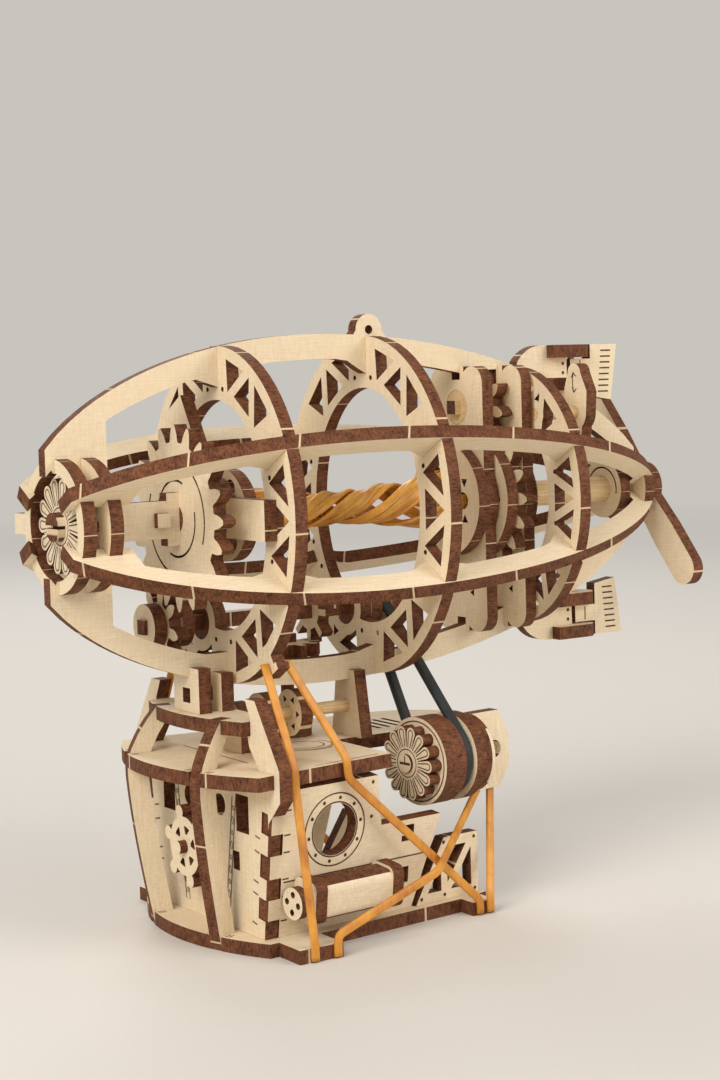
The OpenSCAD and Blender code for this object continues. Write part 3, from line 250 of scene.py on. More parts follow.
def birch_plywood(name, axis, grain):
    """Sanded birch plywood cut by laser: matt cream faces with a fine linen-like grain, dark burnt edges."""
    look = looks()
    material, tree, shader = fresh_material(name)
    place = add(tree, "ShaderNodeTexCoord")
    spot = place.outputs["Object"]
    face = face_mask(tree, spot, place.outputs["Normal"], axis)
    normal_axis = {"rib": "z", "pod": "x", "bow": "y"}.get(axis, axis)
    cross_axis = [a for a in "xyz" if a not in (grain, normal_axis)][0]
    # Fibres 0.3 mm wide and 5 mm long, crossed by the weave that the sanding leaves
    fibre = noise(tree, spot, stretched(grain, 5.0, 0.3), 3.0, 0.6)
    cross = noise(tree, spot, stretched(cross_axis, 2.5, 0.35))
    weave = calc(tree, "MULTIPLY_ADD", cross, 0.38, calc(tree, "MULTIPLY", fibre, 0.62))
    weave = remap(tree, weave, 0.3, 0.62)
    wood = blend(tree, weave, look.face_dark, look.face_light)
    # Clouds 14 mm across where the veneer is warmer
    warm = remap(tree, noise(tree, spot, (14, 14, 14)), 0.35, 0.7, 0.0, 0.5)
    wood = blend(tree, warm, wood, look.face_warm)
    # Laser streaks run across the edge from face to face, 0.45 mm apart and broken by the plies
    streak = noise(tree, spot, stretched(normal_axis, 1.2, 0.45), 3.0, 0.65)
    soot = calc(tree, "MULTIPLY", noise(tree, spot, (2.6, 2.6, 2.6)), 0.3)
    burn = remap(tree, calc(tree, "MULTIPLY_ADD", streak, 0.7, soot), 0.34, 0.68)
    edge = blend(tree, burn, look.edge_dark, look.edge_light)
    edge = blend(tree, bridge_ticks(tree, spot, axis), edge, look.bridge)
    height = add(tree, "ShaderNodeMix", {0: face, 2: streak, 3: weave}, data_type="FLOAT").outputs[0]
    feed(tree, shader, {"Base Color": blend(tree, face, edge, wood),
                        "Roughness": remap(tree, weave, start=0.78, end=0.66),
                        "IOR": 1.45, "Specular IOR Level": 0.25,
                        "Normal": bump(tree, height, 0.25, 0.06)})
    return material


def birch_stick(name):
    """Axle sticks of the same sheet seen along the grain: warmer, with long fibres and browned corners."""
    look = looks()
    material, tree, shader = fresh_material(name)
    spot = add(tree, "ShaderNodeTexCoord").outputs["Object"]
    grain = remap(tree, noise(tree, spot, (12.0, 0.4, 0.4), 3.0), 0.3, 0.65)
    wood = blend(tree, grain, look.stick_dark, look.stick_light)
    brown = remap(tree, noise(tree, spot, (5, 5, 5)), 0.55, 0.78, 0.0, 0.35)
    feed(tree, shader, {"Base Color": blend(tree, brown, wood, look.edge_light),
                        "Roughness": 0.7, "IOR": 1.45, "Normal": bump(tree, grain, 0.2, 0.06)})
    return material


def amber_latex(name):
    """Natural latex band: honey-coloured, slightly waxy, paler where it is stretched and thin."""
    look = looks()
    material, tree, shader = fresh_material(name)
    spot = add(tree, "ShaderNodeTexCoord").outputs["Object"]
    # Stretch clouds 6 mm across and faint mould streaks 0.8 mm apart
    cloud = noise(tree, spot, (6, 6, 6))
    streak = noise(tree, spot, (0.8, 0.8, 8))
    depth = remap(tree, calc(tree, "ADD", cloud, calc(tree, "MULTIPLY", streak, 0.35)), 0.45, 0.85)
    feed(tree, shader, {"Base Color": blend(tree, depth, look.rubber_deep, look.rubber),
                        "Roughness": remap(tree, streak, start=0.32, end=0.5), "IOR": 1.52,
                        "Subsurface Weight": 0.25, "Subsurface Radius": (0.002, 0.001, 0.0004),
                        "Subsurface Scale": 1.0, "Normal": bump(tree, streak, 0.08, 0.1)})
    return material


def belt_rubber(name):
    """Moulded black rubber: nearly matt, with a fine dusty grain and paler rubbed places."""
    look = looks()
    material, tree, shader = fresh_material(name)
    spot = add(tree, "ShaderNodeTexCoord").outputs["Object"]
    grit = noise(tree, spot, (0.35, 0.35, 0.35))
    worn = remap(tree, noise(tree, spot, (5, 5, 5)), 0.5, 0.75, 0.0, 0.35)
    feed(tree, shader, {"Base Color": blend(tree, worn, look.belt, look.belt_worn),
                        "Roughness": remap(tree, grit, start=0.5, end=0.75),
                        "Normal": bump(tree, grit, 0.3, 0.08)})
    return material


def laser_char(name):
    """Wood charred by the laser's engraving pass: dark brown, matt and a little uneven."""
    look = looks()
    material, tree, shader = fresh_material(name)
    spot = add(tree, "ShaderNodeTexCoord").outputs["Object"]
    fade = remap(tree, noise(tree, spot, (0.6, 0.6, 0.6)), 0.35, 0.7)
    feed(tree, shader, {"Base Color": blend(tree, fade, look.engraved, look.engraved_pale), "Roughness": 0.9})
    return material


# Meshes

def mesh_object(name, mesh, material):
    """Object of a mesh with one material, in the scene."""
    obj = bpy.data.objects.new(name, mesh)
    bpy.context.scene.collection.objects.link(obj)
    mesh.materials.clear()
    mesh.materials.append(material)
    return obj


def finish_piece(obj, body, slot, *nodes):
    """Says which body a piece rides on and hides the solids that it stands for. Its material slot is not
    used.
    """
    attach(obj, body)
    if nodes:
        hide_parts(*nodes)


def lerp(a, b, t):
    return a + (b - a) * t


def smooth(t):
    return t * t * (3 - 2 * t)


def mm(*values):
    """Point in metres from its millimetres."""
    return Vector(values) * MM


def neighbours(points, i, closed):
    """Points before and after a point of a path."""
    count = len(points)
    before = points[i - 1] if closed or i else points[0]
    after = points[(i + 1) % count] if closed else points[min(i + 1, count - 1)]
    return before, after


def sweep(bm, path, profile, sides, closed=False):
    """Sweeps a closed profile along points in metres. Its first axis follows the sides, one a point."""
    rings = []
    for i, (spot, side) in enumerate(zip(path, sides)):
        before, after = neighbours(path, i, closed)
        run = (after - before).normalized()
        flat = side - run * side.dot(run)
        flat.normalize()
        up = run.cross(flat)
        rings.append([bm.verts.new(spot + flat * a + up * b) for a, b in profile])
    corners = len(profile)
    for low, high in zip(rings, rings[1:] + rings[:1] if closed else rings[1:]):
        for k in range(corners):
            m = (k + 1) % corners
            bm.faces.new((low[k], low[m], high[m], high[k]))
    if not closed:
        bm.faces.new(rings[0][::-1])
        bm.faces.new(rings[-1])


def rounded(width, thick, steps=3, share=0.42):
    """Profile of a flat band whose edges are rounded by a share of its thickness."""
    r = thick * share
    points = []
    for cx, cy, start in ((1, 1, 0), (-1, 1, 90), (-1, -1, 180), (1, -1, 270)):
        for k in range(steps + 1):
            t = math.radians(start + 90 * k / steps)
            points.append((cx * (width / 2 - r) + r * math.cos(t), cy * (thick / 2 - r) + r * math.sin(t)))
    return points


def swept_mesh(name, sweeps):
    """Smooth mesh of several sweeps, each given by the arguments of its call."""
    bm = bmesh.new()
    for args in sweeps:
        sweep(bm, **args)
    bmesh.ops.recalc_face_normals(bm, faces=bm.faces)
    for face in bm.faces:
        face.smooth = True
    mesh = bpy.data.meshes.new(name)
    bm.to_mesh(mesh)
    bm.free()
    return mesh


class Marks:
    """Collects thin skins for engraved lines on one body's flat faces."""

    def __init__(self):
        self.bm = bmesh.new()

    def line(self, points, out, width=None, closed=False):
        """Engraved line through points in metres on a face whose outward direction is given."""
        half = (width or looks().line_w) / 2
        lift = out * looks().proud
        count = len(points)
        left, right = [], []
        for i, spot in enumerate(points):
            before, after = neighbours(points, i, closed)
            side = (after - before).cross(out).normalized() * half
            left.append(self.bm.verts.new(spot + lift - side))
            right.append(self.bm.verts.new(spot + lift + side))
        for i in range(count if closed else count - 1):
            m = (i + 1) % count
            self.bm.faces.new((left[i], right[i], right[m], left[m]))

    def piece(self, name, ink, body):
        """Turns the lines into a piece that rides on a body."""
        bmesh.ops.recalc_face_normals(self.bm, faces=self.bm.faces)
        mesh = bpy.data.meshes.new(name)
        self.bm.to_mesh(mesh)
        self.bm.free()
        finish_piece(mesh_object(name, mesh, ink), body, BIRCH)


class Face:
    """Flat face of a plate: turns sizes in millimetres on it into points of the model."""

    def __init__(self, origin, across, up):
        self.origin = Vector(origin)
        self.across, self.up = Vector(across).normalized(), Vector(up).normalized()
        self.out = self.across.cross(self.up)

    def at(self, u, v):
        return (self.origin + self.across * u + self.up * v) * MM

    def path(self, *points):
        return [self.at(u, v) for u, v in points]

    def ring(self, u, v, r, start=0.0, end=360.0, count=64):
        """Points round (u, v). A whole turn doesn't repeat its first point."""
        whole = abs(end - start) >= 360
        turns = [math.radians(lerp(start, end, k / count)) for k in range(count if whole else count + 1)]
        return [self.at(u + r * math.cos(t), v + r * math.sin(t)) for t in turns]


def dot_tree():
    """Node tree that sets a small engraved dot on each point of a mesh."""
    tree = bpy.data.node_groups.new("Engraved dots", "GeometryNodeTree")
    face = tree.interface
    face.new_socket("Points", in_out="INPUT", socket_type="NodeSocketGeometry")
    face.new_socket("Radius", in_out="INPUT", socket_type="NodeSocketFloat")
    face.new_socket("Ink", in_out="INPUT", socket_type="NodeSocketMaterial")
    face.new_socket("Geometry", in_out="OUTPUT", socket_type="NodeSocketGeometry")
    given = add(tree, "NodeGroupInput").outputs
    disc = add(tree, "GeometryNodeMeshCircle", {"Vertices": 10, "Radius": given["Radius"]}, fill_type="NGON")
    normal = add(tree, "GeometryNodeInputNamedAttribute", {"Name": "out"}, data_type="FLOAT_VECTOR")
    turn = add(tree, "FunctionNodeAlignRotationToVector", {"Vector": normal.outputs[0]}, axis="Z")
    dots = add(tree, "GeometryNodeInstanceOnPoints", {"Points": given["Points"],
               "Instance": disc.outputs["Mesh"], "Rotation": turn.outputs[0]})
    real = add(tree, "GeometryNodeRealizeInstances", {0: dots.outputs[0]})
    inked = add(tree, "GeometryNodeSetMaterial", {"Geometry": real.outputs[0], "Material": given["Ink"]})
    add(tree, "NodeGroupOutput", {0: inked.outputs[0]})
    return tree


def dotted(name, spots, radius, ink):
    """Plain mesh of engraved dots at (point, outward direction) pairs."""
    mesh = bpy.data.meshes.new(name + "_points")
    mesh.from_pydata([p + o * looks().proud for p, o in spots], [], [])
    layer = mesh.attributes.new("out", "FLOAT_VECTOR", "POINT")
    for item, (_, o) in zip(layer.data, spots):
        item.vector = o
    maker = bpy.data.objects.new(name + "_maker", mesh)
    bpy.context.scene.collection.objects.link(maker)
    tree = dot_tree()
    modifier = maker.modifiers.new("Dots", "NODES")
    modifier.node_group = tree
    keys = {item.name: item.identifier for item in tree.interface.items_tree if item.item_type == "SOCKET"}
    modifier[keys["Radius"]] = radius
    modifier[keys["Ink"]] = ink
    graph = bpy.context.evaluated_depsgraph_get()
    plain = bpy.data.meshes.new_from_object(maker.evaluated_get(graph))
    maker.modifiers.clear()
    bpy.data.objects.remove(maker)
    return mesh_object(name, plain, ink)


# Routes, in millimetres as in the part's source

def strand_route(group, strip, strips, steps=96):
    """Points of one strip between the hook plates, and the way its flat side lies at each of them.

    Six ribbons leave the hooks and draw together in pairs, as three twisted bundles, towards the waist."""
    start, run = -22.4, 58.8
    waist_at, waist_r, hook_r = 0.46, 2.9, 6.8
    twist, pair, swell_r, tumble = 420, 19, 0.3, 0.35
    path, sides = [], []
    for i in range(steps + 1):
        t = i / steps
        # 0 at the waist and nearly 1 at the hooks
        if t < waist_at:
            spread = (2 * (waist_at - t)) ** 1.5
        else:
            spread = min(1.0, ((t - waist_at) / (1 - waist_at)) ** 1.35)
        swell = swell_r * math.sin(2 * math.pi * (1.2 * t + strip / strips + group * 0.37))
        r = lerp(waist_r, hook_r, spread) + swell * (1 - spread)
        aside = (strip - (strips - 1) / 2) * lerp(1.25, 0.7, spread)
        near = pair * (1 if group % 2 == 0 else -1) * (1 - spread ** 2)
        turn = math.radians(group * 60 + near - twist * smooth(t)) + aside / r
        path.append(mm(start + run * t, r * math.cos(turn), AXIS_Z + r * math.sin(turn)))
        lean = turn + tumble * math.sin(2 * strip + 5 * t + group)
        sides.append(Vector((0, -math.sin(lean), math.cos(lean))))
    return path, sides


def roof_edge(x):
    """Half width of the roof, which narrows towards the stern."""
    return ROOF_HALF - ROOF_NARROWS * (x - ROOF_FRONT) / ROOF_RUN


def pod_point(x, z):
    """Point at a distance behind the turbine's front, at a height over the table."""
    return (TURBINE[0] + x * math.cos(TURBINE_YAW), TURBINE[1] + x * math.sin(TURBINE_YAW), z)


def hook_peg():
    """Y and Z of the front ring's near hook, on the rim of the flattened envelope."""
    turn, proud = math.radians(148), 1
    half = ENVELOPE_R * (1 - (FRONT_RING_X / NOSE_REACH) ** 2) ** 0.5
    rim = half / math.sqrt((math.sin(turn) / ENVELOPE_FLAT) ** 2 + math.cos(turn) ** 2) + proud
    return -math.sin(turn) * rim, AXIS_Z + math.cos(turn) * rim


def lashing_routes():
    """Corner points of the bands: two on each side and two on the near side only, with their sides."""
    peg = hook_peg()
    front, rear, bend, foot = -26.15, -20.85, -12.0, 22.2
    off, front_y, rear_y = 0.95, -35.5, -27.0
    over_roof, under_roof, over_tab, tab_rest, low = 39.2, 35.3, 3.5, 4.8, 0.45
    near_front, near_rear, round_tank = -20.6, 25.0, (8.0, -31.5, 13.0)
    pod_low = TURBINE[2] - 8.7
    both = []
    for top_x, edge_x, foot_x, foot_y in ((front, front, front, front_y), (rear, bend, foot, rear_y)):
        edge_y = -roof_edge(edge_x) - off
        both.append([(top_x, *peg), (edge_x, edge_y, over_roof), (edge_x, edge_y, under_roof),
                     (foot_x, foot_y, over_tab), (foot_x, foot_y, low)])
    near = [
        [(near_front, front_y, low), (near_front, front_y, tab_rest), round_tank, pod_point(20.8, pod_low)],
        [(near_rear, rear_y, low), (near_rear, rear_y, tab_rest), pod_point(24.6, pod_low)],
    ]
    return [(route, (1, -1)) for route in both] + [(route, (1,)) for route in near]


def softened(corners, step=1.0):
    """Points along a route whose corners are rounded a little."""
    spots = [Vector(c) for c in corners]
    path = []
    for a, b in zip(spots, spots[1:]):
        n = max(2, int((b - a).length / step))
        path += [a.lerp(b, i / n) for i in range(n)]
    path.append(spots[-1])
    for _ in range(2):
        inner = [(a + b * 2 + c) / 4 for a, b, c in zip(path, path[1:], path[2:])]
        path = [path[0]] + inner + [path[-1]]
    return path


def belt_route(top_steps=24, low_steps=40):
    """Points of the closed belt round both pulleys in metres, and the way its width lies at each of them."""
    top_r, low_r, step = 3.2, 7.9, 2
    top = Vector((UPPER_PULLEY_X, SHAFT_Y, AXIS_Z - math.sqrt(SHAFT_GAP ** 2 - SHAFT_Y ** 2)))
    # Drawn 0.4 mm to the near side, so that the far run clears the roof's edge
    low = Vector(pod_point(GROOVE_X, TURBINE[2])) + Vector((0, -0.31, 0.25))
    dy, dz = low.y - top.y, low.z - top.z
    heading = math.atan2(dz, dy)
    spread = math.asin((low_r - top_r) / math.hypot(dy, dz))
    cos, sin = math.cos(TURBINE_YAW), math.sin(TURBINE_YAW)
    shaft_way, pod_way, aside = Vector((1, 0, 0)), Vector((cos, sin, 0)), Vector((-sin, cos, 0))
    arcs = []
    for i in range(top_steps + 1):
        t = heading + math.pi / 2 + spread + (math.pi - 2 * spread) * i / top_steps
        arcs.append((top + top_r * Vector((0, math.cos(t), math.sin(t))), shaft_way))
    for i in range(low_steps + 1):
        t = heading - math.pi / 2 - spread + (math.pi + 2 * spread) * i / low_steps
        arcs.append((low + low_r * (math.cos(t) * aside + math.sin(t) * Vector((0, 0, 1))), pod_way))
    path, sides = [], []
    for (a, first), (b, second) in zip(arcs, arcs[1:] + arcs[:1]):
        n = max(1, int((b - a).length / step))
        path += [a.lerp(b, i / n) * MM for i in range(n)]
        sides += [first.lerp(second, i / n) for i in range(n)]
    return path, sides


def wall_face(far=False):
    """Outer face of a side wall, with its lower front corner at the origin."""
    lean, taper = math.radians(7), math.radians(5)
    along = Vector((math.cos(taper), math.sin(taper), 0))
    out = Vector((math.cos(lean) * math.sin(taper), -math.cos(lean) * math.cos(taper), -math.sin(lean)))
    up = out.cross(along)
    origin = Vector(WALL_CORNER) + out * PLY
    if not far:
        return Face(origin, along, up)
    flip = Vector((1, -1, 1))
    face = Face(origin * flip, along * flip, up * flip)
    face.out = out * flip
    return face


def dress(names, material):
    """Gives a material to solids of the part."""
    for name in names:
        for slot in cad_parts[name].material_slots:
            slot.material = material


class AIRSHIP_OT_plywood(bpy.types.Operator):
    """Gives every plywood part its cut faces and edges"""

    bl_idname = "airship.plywood"
    bl_label = "Birch plywood"

    def execute(self, context):
        for axis, names in PLATES.items():
            dress(names, birch_plywood("birch_plywood_" + axis, axis, GRAINS[axis]))
        dress(STICKS, birch_stick("birch_stick"))
        return {"FINISHED"}


class AIRSHIP_OT_rubber_motor(bpy.types.Operator):
    """Makes the twisted strips of the rubber motor"""

    bl_idname = "airship.rubber_motor"
    bl_label = "Rubber motor"

    def execute(self, context):
        groups, strips = 6, 3
        profile = rounded(looks().strand_w, looks().strand_t)
        sweeps = []
        for group in range(groups):
            for strip in range(strips):
                path, sides = strand_route(group, strip, strips)
                sweeps.append({"path": path, "profile": profile, "sides": sides})
        mesh = swept_mesh("rubber_strips", sweeps)
        obj = mesh_object("rubber_strips", mesh, amber_latex("amber_latex"))
        finish_piece(obj, "nose_rotor", AMBER, "rubber_motor")
        return {"FINISHED"}


class AIRSHIP_OT_lashings(bpy.types.Operator):
    """Makes the bands that tie the envelope to the gondola"""

    bl_idname = "airship.lashings"
    bl_label = "Lashing bands"

    def execute(self, context):
        profile = rounded(looks().band_w, looks().band_t)
        sweeps = []
        for corners, flips in lashing_routes():
            for flip in flips:
                path = [mm(x, y * flip, z) for x, y, z in softened(corners)]
                sweeps.append({"path": path, "profile": profile, "sides": self.carried(path)})
        mesh = swept_mesh("lashing_bands", sweeps)
        material = bpy.data.materials.get("amber_latex") or amber_latex("amber_latex")
        obj = mesh_object("lashing_bands", mesh, material)
        finish_piece(obj, "frame", AMBER, "lashings")
        return {"FINISHED"}

    def carried(self, path):
        """Width's way along a band that starts flat along X and isn't twisted."""
        sides, side = [], Vector((1, 0, 0))
        for i in range(len(path)):
            before, after = neighbours(path, i, False)
            run = (after - before).normalized()
            side = (side - run * side.dot(run)).normalized()
            sides.append(side)
        return sides


class AIRSHIP_OT_belt(bpy.types.Operator):
    """Makes the drive belt between the lower shaft and the turbine"""

    bl_idname = "airship.belt"
    bl_label = "Drive belt"

    def execute(self, context):
        profile = rounded(looks().belt_w, looks().belt_t)
        path, sides = belt_route()
        mesh = swept_mesh("belt_cord", [{"path": path, "profile": profile, "sides": sides, "closed": True}])
        obj = mesh_object("belt_cord", mesh, belt_rubber("belt_rubber"))
        finish_piece(obj, "frame", BLACK, "drive_belt")
        return {"FINISHED"}


class AIRSHIP_OT_engraving(bpy.types.Operator):
    """Draws the laser's engraved lines and dots"""

    bl_idname = "airship.engraving"
    bl_label = "Engraved marks"

    def execute(self, context):
        ink = laser_char("laser_char")
        hull, dots = Marks(), []
        for far in (False, True):
            self.wall(hull, dots, wall_face(far))
        self.bulkhead(hull)
        self.roof(hull)
        self.truss_and_fins(dots)
        hull.piece("hull_lines", ink, "frame")
        finish_piece(dotted("hull_rivets", dots, looks().rivet_r, ink), "frame", BIRCH)
        for body, sign in (("top_flap", 1), ("bottom_flap", -1)):
            self.rudder(body, sign, ink)
        self.lever(ink)
        self.shaft_end(ink)
        nose = Face((-62.6, 0, AXIS_Z), (0, -1, 0), (0, 0, 1))
        self.petals("nose_rotor", "nose_petals", nose, 10.1, 4.6, ink)
        across = (math.sin(TURBINE_YAW), -math.cos(TURBINE_YAW), 0)
        self.petals("turbine", "turbine_petals", Face(TURBINE, across, (0, 0, 1)), 8.2, 3.8, ink,
                    Face(pod_point(PLY, TURBINE[2]), across, (0, 0, 1)))
        return {"FINISHED"}

    def wall(self, marks, dots, face):
        """Porthole rim with its rivets, seam line and finger ticks of one side wall."""
        u, v, rivet_ring = 13.6, 21.3, 6.9
        seam, tick_from, tick_to = 11.9, 0.3, 1.9
        for r in (5.95, 7.9):
            marks.line(face.ring(u, v, r), face.out, closed=True)
        marks.line(face.path((0.6, seam), (39.6, seam)), face.out)
        for k in range(10):
            t = math.radians(36 * k + 9)
            dots.append((face.at(u + rivet_ring * math.cos(t), v + rivet_ring * math.sin(t)), face.out))
        for up in (3.6, 8.9, 12.6, 18.4, 22.1, 27.4):
            marks.line(face.path((tick_from, up), (tick_to, up)), face.out)
        for up in (22.6, 26.8, 30.2):
            dots.append((face.at(23.4, up), face.out))

    def bulkhead(self, marks):
        """Slanting chain lines on both halves of the bulkhead's front, and ticks at the walls' fingers."""
        face = Face((-31, 0, 0), (0, -1, 0), (0, 0, 1))
        foot, head, foot_u, head_u, gap = 5.6, 31.6, 8.0, 12.0, 1.5
        link_w, links, first, apart = 0.36, 9, 7.5, 2.7
        for s in (1, -1):
            for shift in (0.0, gap):
                marks.line(face.path((s * (foot_u + shift), foot), (s * (head_u + shift), head)), face.out)
            for k in range(links):
                v = first + apart * k
                u = foot_u + gap / 2 + (v - foot) * (head_u - foot_u) / (head - foot)
                link_h = 0.85 if k % 2 else 0.45
                turns = [q * math.pi / 5 for q in range(10)]
                marks.line([face.at(s * (u + link_w * math.cos(t)), v + link_h * math.sin(t)) for t in turns],
                           face.out, width=CHAIN_W, closed=True)
            for v in (6.2, 12.6, 15.2, 21.6, 24.7):
                edge = 20.4 + (v - WALL_CORNER[2]) * 0.123
                marks.line(face.path((s * (edge - 1.9), v), (s * edge, v - 0.4)), face.out)

    def roof(self, marks):
        """Round plate, edge lines and rib ticks on the roof, and the ticks on the base."""
        top = Face((0, 0, ROOF_TOP), (1, 0, 0), (0, 1, 0))
        for r, start, end in ((4.4, 0, 360), (6.2, 150, 390), (7.0, 170, 300)):
            marks.line(top.ring(-7.5, -3.5, r, start, end), top.out, closed=end - start == 360)
        marks.line(top.path(*((x, -roof_edge(x) + 1.7) for x in (-19.0, -1.5))), top.out)
        marks.line(top.path((-28.0, 14.0), (-28.0, -14.0)), top.out)
        for level, reach in ((ROOF_TOP, 54.0), (PLY, 49.2)):
            face = Face((10, 0, level), (1, 0, 0), (0, 1, 0))
            for s in (1, -1):
                for turn in (12.9, 13.9, 19.1, 20.1):
                    t = math.radians(180 + s * turn)
                    tick = [(r * math.cos(t), r * math.sin(t)) for r in (reach - 2.4, reach - 0.5)]
                    marks.line(face.path(*tick), face.out)

    def truss_and_fins(self, dots):
        """Rivet dots on the stern trusses and on the fins by the hinges."""
        lean = math.radians(5)
        along, out = Vector((math.cos(lean), math.sin(lean), 0)), Vector((math.sin(lean), -math.cos(lean), 0))
        corner = Vector((8.8, -18.2, 3.05))
        for u, v in ((1.6, 1.2), (8.3, 1.2), (8.3, 12.9), (17.2, 1.2), (17.2, 12.9)):
            spot = corner + along * u + out * PLY + Vector((0, 0, v))
            for flip in (Vector((1, 1, 1)), Vector((1, -1, 1))):
                dots.append((spot * flip * MM, out * flip))
        for sign in (1, -1):
            for side in (-1, 1):
                for x, v in ((69.3, 30.6), (69.3, 28.4)):
                    dots.append((mm(x, side * PLY / 2, AXIS_Z + sign * v), Vector((0, side, 0))))

    def rudder(self, body, sign, ink):
        """Scale ticks and a hinge line on both faces of a rudder."""
        marks = Marks()
        ticks, first, apart, tick_x, tick_run, hinge_x = 8, 23.7, 1.4, 80.0, 3.1, 74.6
        for side in (-1, 1):
            face = Face((0, PLY / 2 * side, AXIS_Z), (-side, 0, 0), (0, 0, 1))
            for k in range(ticks):
                v = first + apart * k
                start = tick_x + 0.1 * (v - first)
                tick = [(-side * u, sign * v) for u in (start, start + tick_run)]
                marks.line(face.path(*tick), face.out, width=TICK_W)
            marks.line(face.path((-side * hinge_x, sign * 28.0), (-side * hinge_x, sign * 31.2)), face.out)
        marks.piece(body + "_ticks", ink, body)

    def lever(self, ink):
        """Double arrow on the stop lever."""
        marks = Marks()
        face = Face((66, -9.5, AXIS_Z + 19), (0, -1, 0), (0, 0, 1))
        marks.line(face.ring(8.0, 7.2, 8.4, 165, 197, 14), face.out, width=ARROW_W)
        upper, lower = ((-0.7, -1.2), (0.9, -0.9)), ((-0.5, 1.2), (1.0, 0.9))
        for u, v, tips in ((-0.12, 9.4, upper), (-0.05, 4.75, lower)):
            for du, dv in tips:
                marks.line(face.path((u, v), (u + du, v + dv)), face.out, width=ARROW_W)
        marks.piece("lever_arrow", ink, "lever")

    def shaft_end(self, ink):
        """Burnt end of the upper square shaft, in the gearbox's front bush."""
        marks = Marks()
        half = 1.55
        low, high = (Vector(corner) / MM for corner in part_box("upper_axle"))
        face = Face((low.x, 0, (low.z + high.z) / 2), (0, -1, 0), (0, 0, 1))
        marks.line(face.path((0, -half), (0, half)), face.out, width=2 * half * MM)
        marks.piece("shaft_end", ink, "upper_shaft")

    def petals(self, body, name, face, r, hub, ink, rim=None):
        """Loop lines on a fan's petals, and with a rim a line round the flange and the pin's slot."""
        marks = Marks()
        count, steps = 14, 8
        petal = r * 0.16
        half, tip = petal * 0.55, r - petal
        root, root_half = hub - 0.2, half * 0.45
        bow = [q * math.pi / steps for q in range(steps + 1)]
        loop = [(root, -root_half)]
        loop += [(tip + half * math.sin(t), -half * math.cos(t)) for t in bow]
        loop += [(root, root_half)]
        for k in range(count):
            turn = 2 * math.pi * k / count
            cos, sin = math.cos(turn), math.sin(turn)
            turned = [(u * cos - v * sin, u * sin + v * cos) for u, v in loop]
            marks.line(face.path(*turned), face.out, width=PETAL_W)
        marks.line(face.ring(0, 0, hub - 0.7), face.out, width=HUB_W, closed=True)
        if rim:
            flange_line, pin_ahead, slot_half = 8.9, 0.6, 1.7
            marks.line(rim.ring(0, 0, flange_line), rim.out, closed=True)
            pin = Face(pod_point(-pin_ahead, TURBINE[2]), face.across, face.up)
            marks.line(pin.path((-slot_half, 0.0), (slot_half, 0.0)), pin.out, width=SLOT_W)
            marks.line(pin.path((0.0, SLOT_W / MM / 2), (0.0, slot_half)), pin.out, width=SPLIT_W)
        marks.piece(name, ink, body)


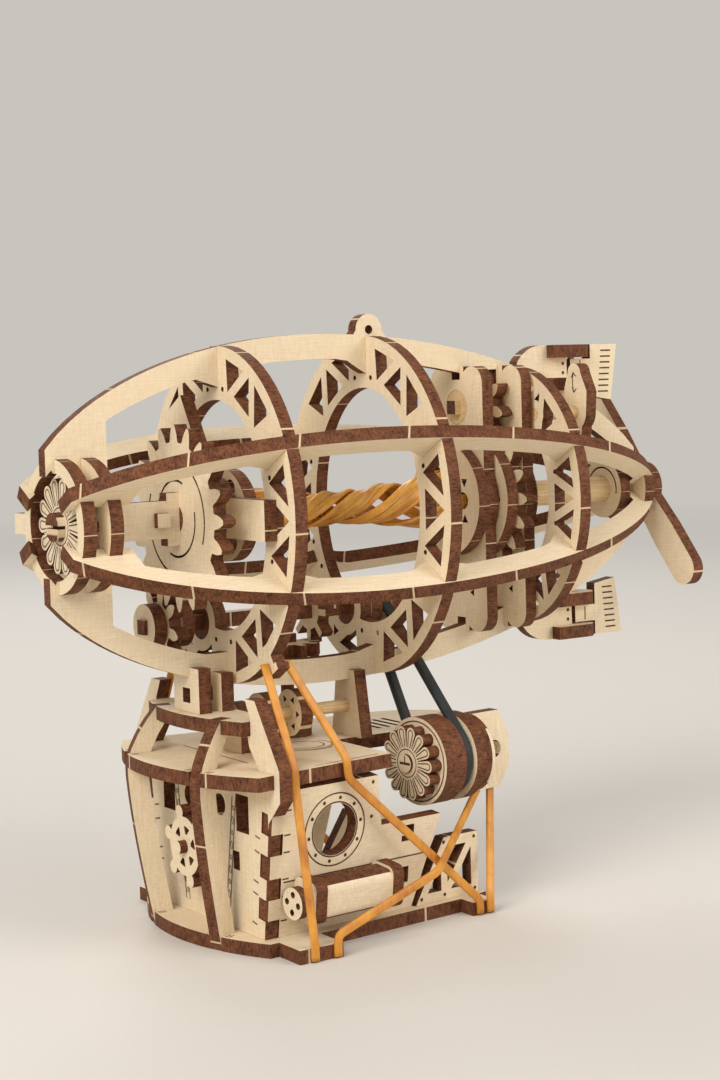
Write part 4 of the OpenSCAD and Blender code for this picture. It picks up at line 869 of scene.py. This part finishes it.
class AIRSHIP_OT_stage(bpy.types.Operator):
    """Sets the floor, the studio lights and the camera"""

    bl_idname = "airship.stage"
    bl_label = "Stage"

    def execute(self, context):
        scene = context.scene
        self.floor()
        self.air(scene)
        for name, place, aim, size, watts, tint in (
                ("key_softbox", (-0.8, -0.4, 0.7), (0, 0, 0.08), 0.7, 8.5, "#FFF8EF"),
                ("fill_softbox", (0.5, -0.8, 0.5), (0, 0, 0.08), 0.7, 5.0, "#FFF8F0"),
                ("rim_softbox", (0.3, 0.8, 0.7), (0, 0, 0.1), 0.5, 3.5, "#FFFFFF")):
            lamp = bpy.data.lights.new(name, "AREA")
            lamp.shape, lamp.size, lamp.energy = "DISK", size, watts
            lamp.color = linear(tint)[:3]
            obj = bpy.data.objects.new(name, lamp)
            obj.location = place
            obj.rotation_euler = (Vector(place) - Vector(aim)).to_track_quat("Z", "Y").to_euler()
            scene.collection.objects.link(obj)
        self.camera(scene)
        scene.view_settings.view_transform = "Standard"
        return {"FINISHED"}

    def camera(self, scene):
        """Camera found from the rings, ribs and base in the photograph, for an image of 720 by 1080."""
        place, turns = (-0.24734, -0.39119, 0.11963), (-33.4487, 4.5524, -1.6423)
        focal, image, sensor = 2092.85, 1080.0, 36.0
        camera = bpy.data.cameras.new("viewer")
        camera.sensor_fit, camera.sensor_height = "VERTICAL", sensor
        camera.lens = focal * sensor / image
        camera.clip_start, camera.clip_end = 0.01, 20.0
        obj = bpy.data.objects.new("viewer", camera)
        az, el, roll = (math.radians(v) for v in turns)
        right = Vector((math.cos(az), math.sin(az), 0))
        back = Vector((math.sin(az) * math.cos(el), -math.cos(az) * math.cos(el), math.sin(el)))
        up = back.cross(right)
        cos, sin = math.cos(roll), math.sin(roll)
        right, up = cos * right + sin * up, cos * up - sin * right
        obj.matrix_world = Matrix.Translation(place) @ Matrix((right, up, back)).transposed().to_4x4()
        scene.collection.objects.link(obj)
        scene.camera = obj

    def seen(self, tree):
        """1 for rays that show the stage to the eye, also in gloss and glass."""
        path = add(tree, "ShaderNodeLightPath").outputs
        gloss = calc(tree, "MAXIMUM", path["Is Glossy Ray"], path["Is Transmission Ray"])
        return calc(tree, "MAXIMUM", path["Is Camera Ray"], gloss)

    def floor(self):
        """Round paper floor that takes the shadow and fades into the backdrop's tone far from the model."""
        radius, fade_from, fade_to, tooth_scale = 8.0, 0.3, 1.5, 900.0
        material, tree, shader = fresh_material("studio_paper")
        spot = add(tree, "ShaderNodeTexCoord").outputs["Object"]
        tooth = add(tree, "ShaderNodeTexNoise", {0: spot, 2: tooth_scale, 3: 2.0}).outputs[0]
        tone = remap(tree, tooth, start=0.98, end=1.02)
        paper = add(tree, "ShaderNodeMix", {0: 1.0, 6: looks().floor, 7: tone}, data_type="RGBA",
                    blend_type="MULTIPLY")
        feed(tree, shader, {"Base Color": paper.outputs[2], "Roughness": 0.9})
        away = add(tree, "ShaderNodeVectorMath", {0: spot}, operation="LENGTH").outputs["Value"]
        fade = add(tree, "ShaderNodeMapRange", {0: away, 1: fade_from, 2: fade_to},
                   interpolation_type="SMOOTHSTEP")
        share = calc(tree, "MULTIPLY", fade.outputs[0], self.seen(tree))
        glow = add(tree, "ShaderNodeEmission", {0: looks().backdrop, 1: 1.0})
        both = add(tree, "ShaderNodeMixShader", {0: share, 1: shader.outputs[0], 2: glow.outputs[0]})
        feed(tree, tree.nodes["Material Output"], {0: both.outputs[0]})
        bm = bmesh.new()
        bmesh.ops.create_circle(bm, cap_ends=True, segments=96, radius=radius)
        mesh = bpy.data.meshes.new("studio_floor")
        bm.to_mesh(mesh)
        bm.free()
        mesh_object("studio_floor", mesh, material)

    def air(self, scene):
        """Soft even light from all round, with a plain backdrop behind the model."""
        world = bpy.data.worlds.new("studio_air")
        scene.world = world
        world.use_nodes = True
        tree = world.node_tree
        sky, strength = tree.nodes["Background"], 0.42
        feed(tree, sky, {0: looks().sky, 1: strength})
        back = add(tree, "ShaderNodeBackground", {0: looks().backdrop, 1: 1.0})
        both = add(tree, "ShaderNodeMixShader", {0: self.seen(tree), 1: sky.outputs[0], 2: back.outputs[0]})
        feed(tree, tree.nodes["World Output"], {0: both.outputs[0]})


class AIRSHIP_PT_sidebar(bpy.types.Panel):
    """Lists the airship's pieces and finishes"""

    bl_idname = "AIRSHIP_PT_sidebar"
    bl_label = "Airship model"
    bl_space_type = "VIEW_3D"
    bl_region_type = "UI"
    bl_category = "Airship"

    def draw(self, context):
        column = self.layout.column()
        for step in STEPS:
            column.operator(step.bl_idname)
        for name in AirshipLooks.__annotations__:
            column.prop(context.scene.airship_looks, name)


STEPS = (AIRSHIP_OT_plywood, AIRSHIP_OT_rubber_motor, AIRSHIP_OT_lashings, AIRSHIP_OT_belt,
         AIRSHIP_OT_engraving, AIRSHIP_OT_stage)
CLASSES = (AirshipLooks,) + STEPS + (AIRSHIP_PT_sidebar,)


def register():
    for item in CLASSES:
        bpy.utils.register_class(item)
    bpy.types.Scene.airship_looks = bpy.props.PointerProperty(type=AirshipLooks)


def unregister():
    del bpy.types.Scene.airship_looks
    for item in reversed(CLASSES):
        bpy.utils.unregister_class(item)


def main():
    register()
    bpy.ops.airship.plywood()
    bpy.ops.airship.rubber_motor()
    bpy.ops.airship.lashings()
    bpy.ops.airship.belt()
    bpy.ops.airship.engraving()
    bpy.ops.airship.stage()


if __name__ == "__main__":
    main()
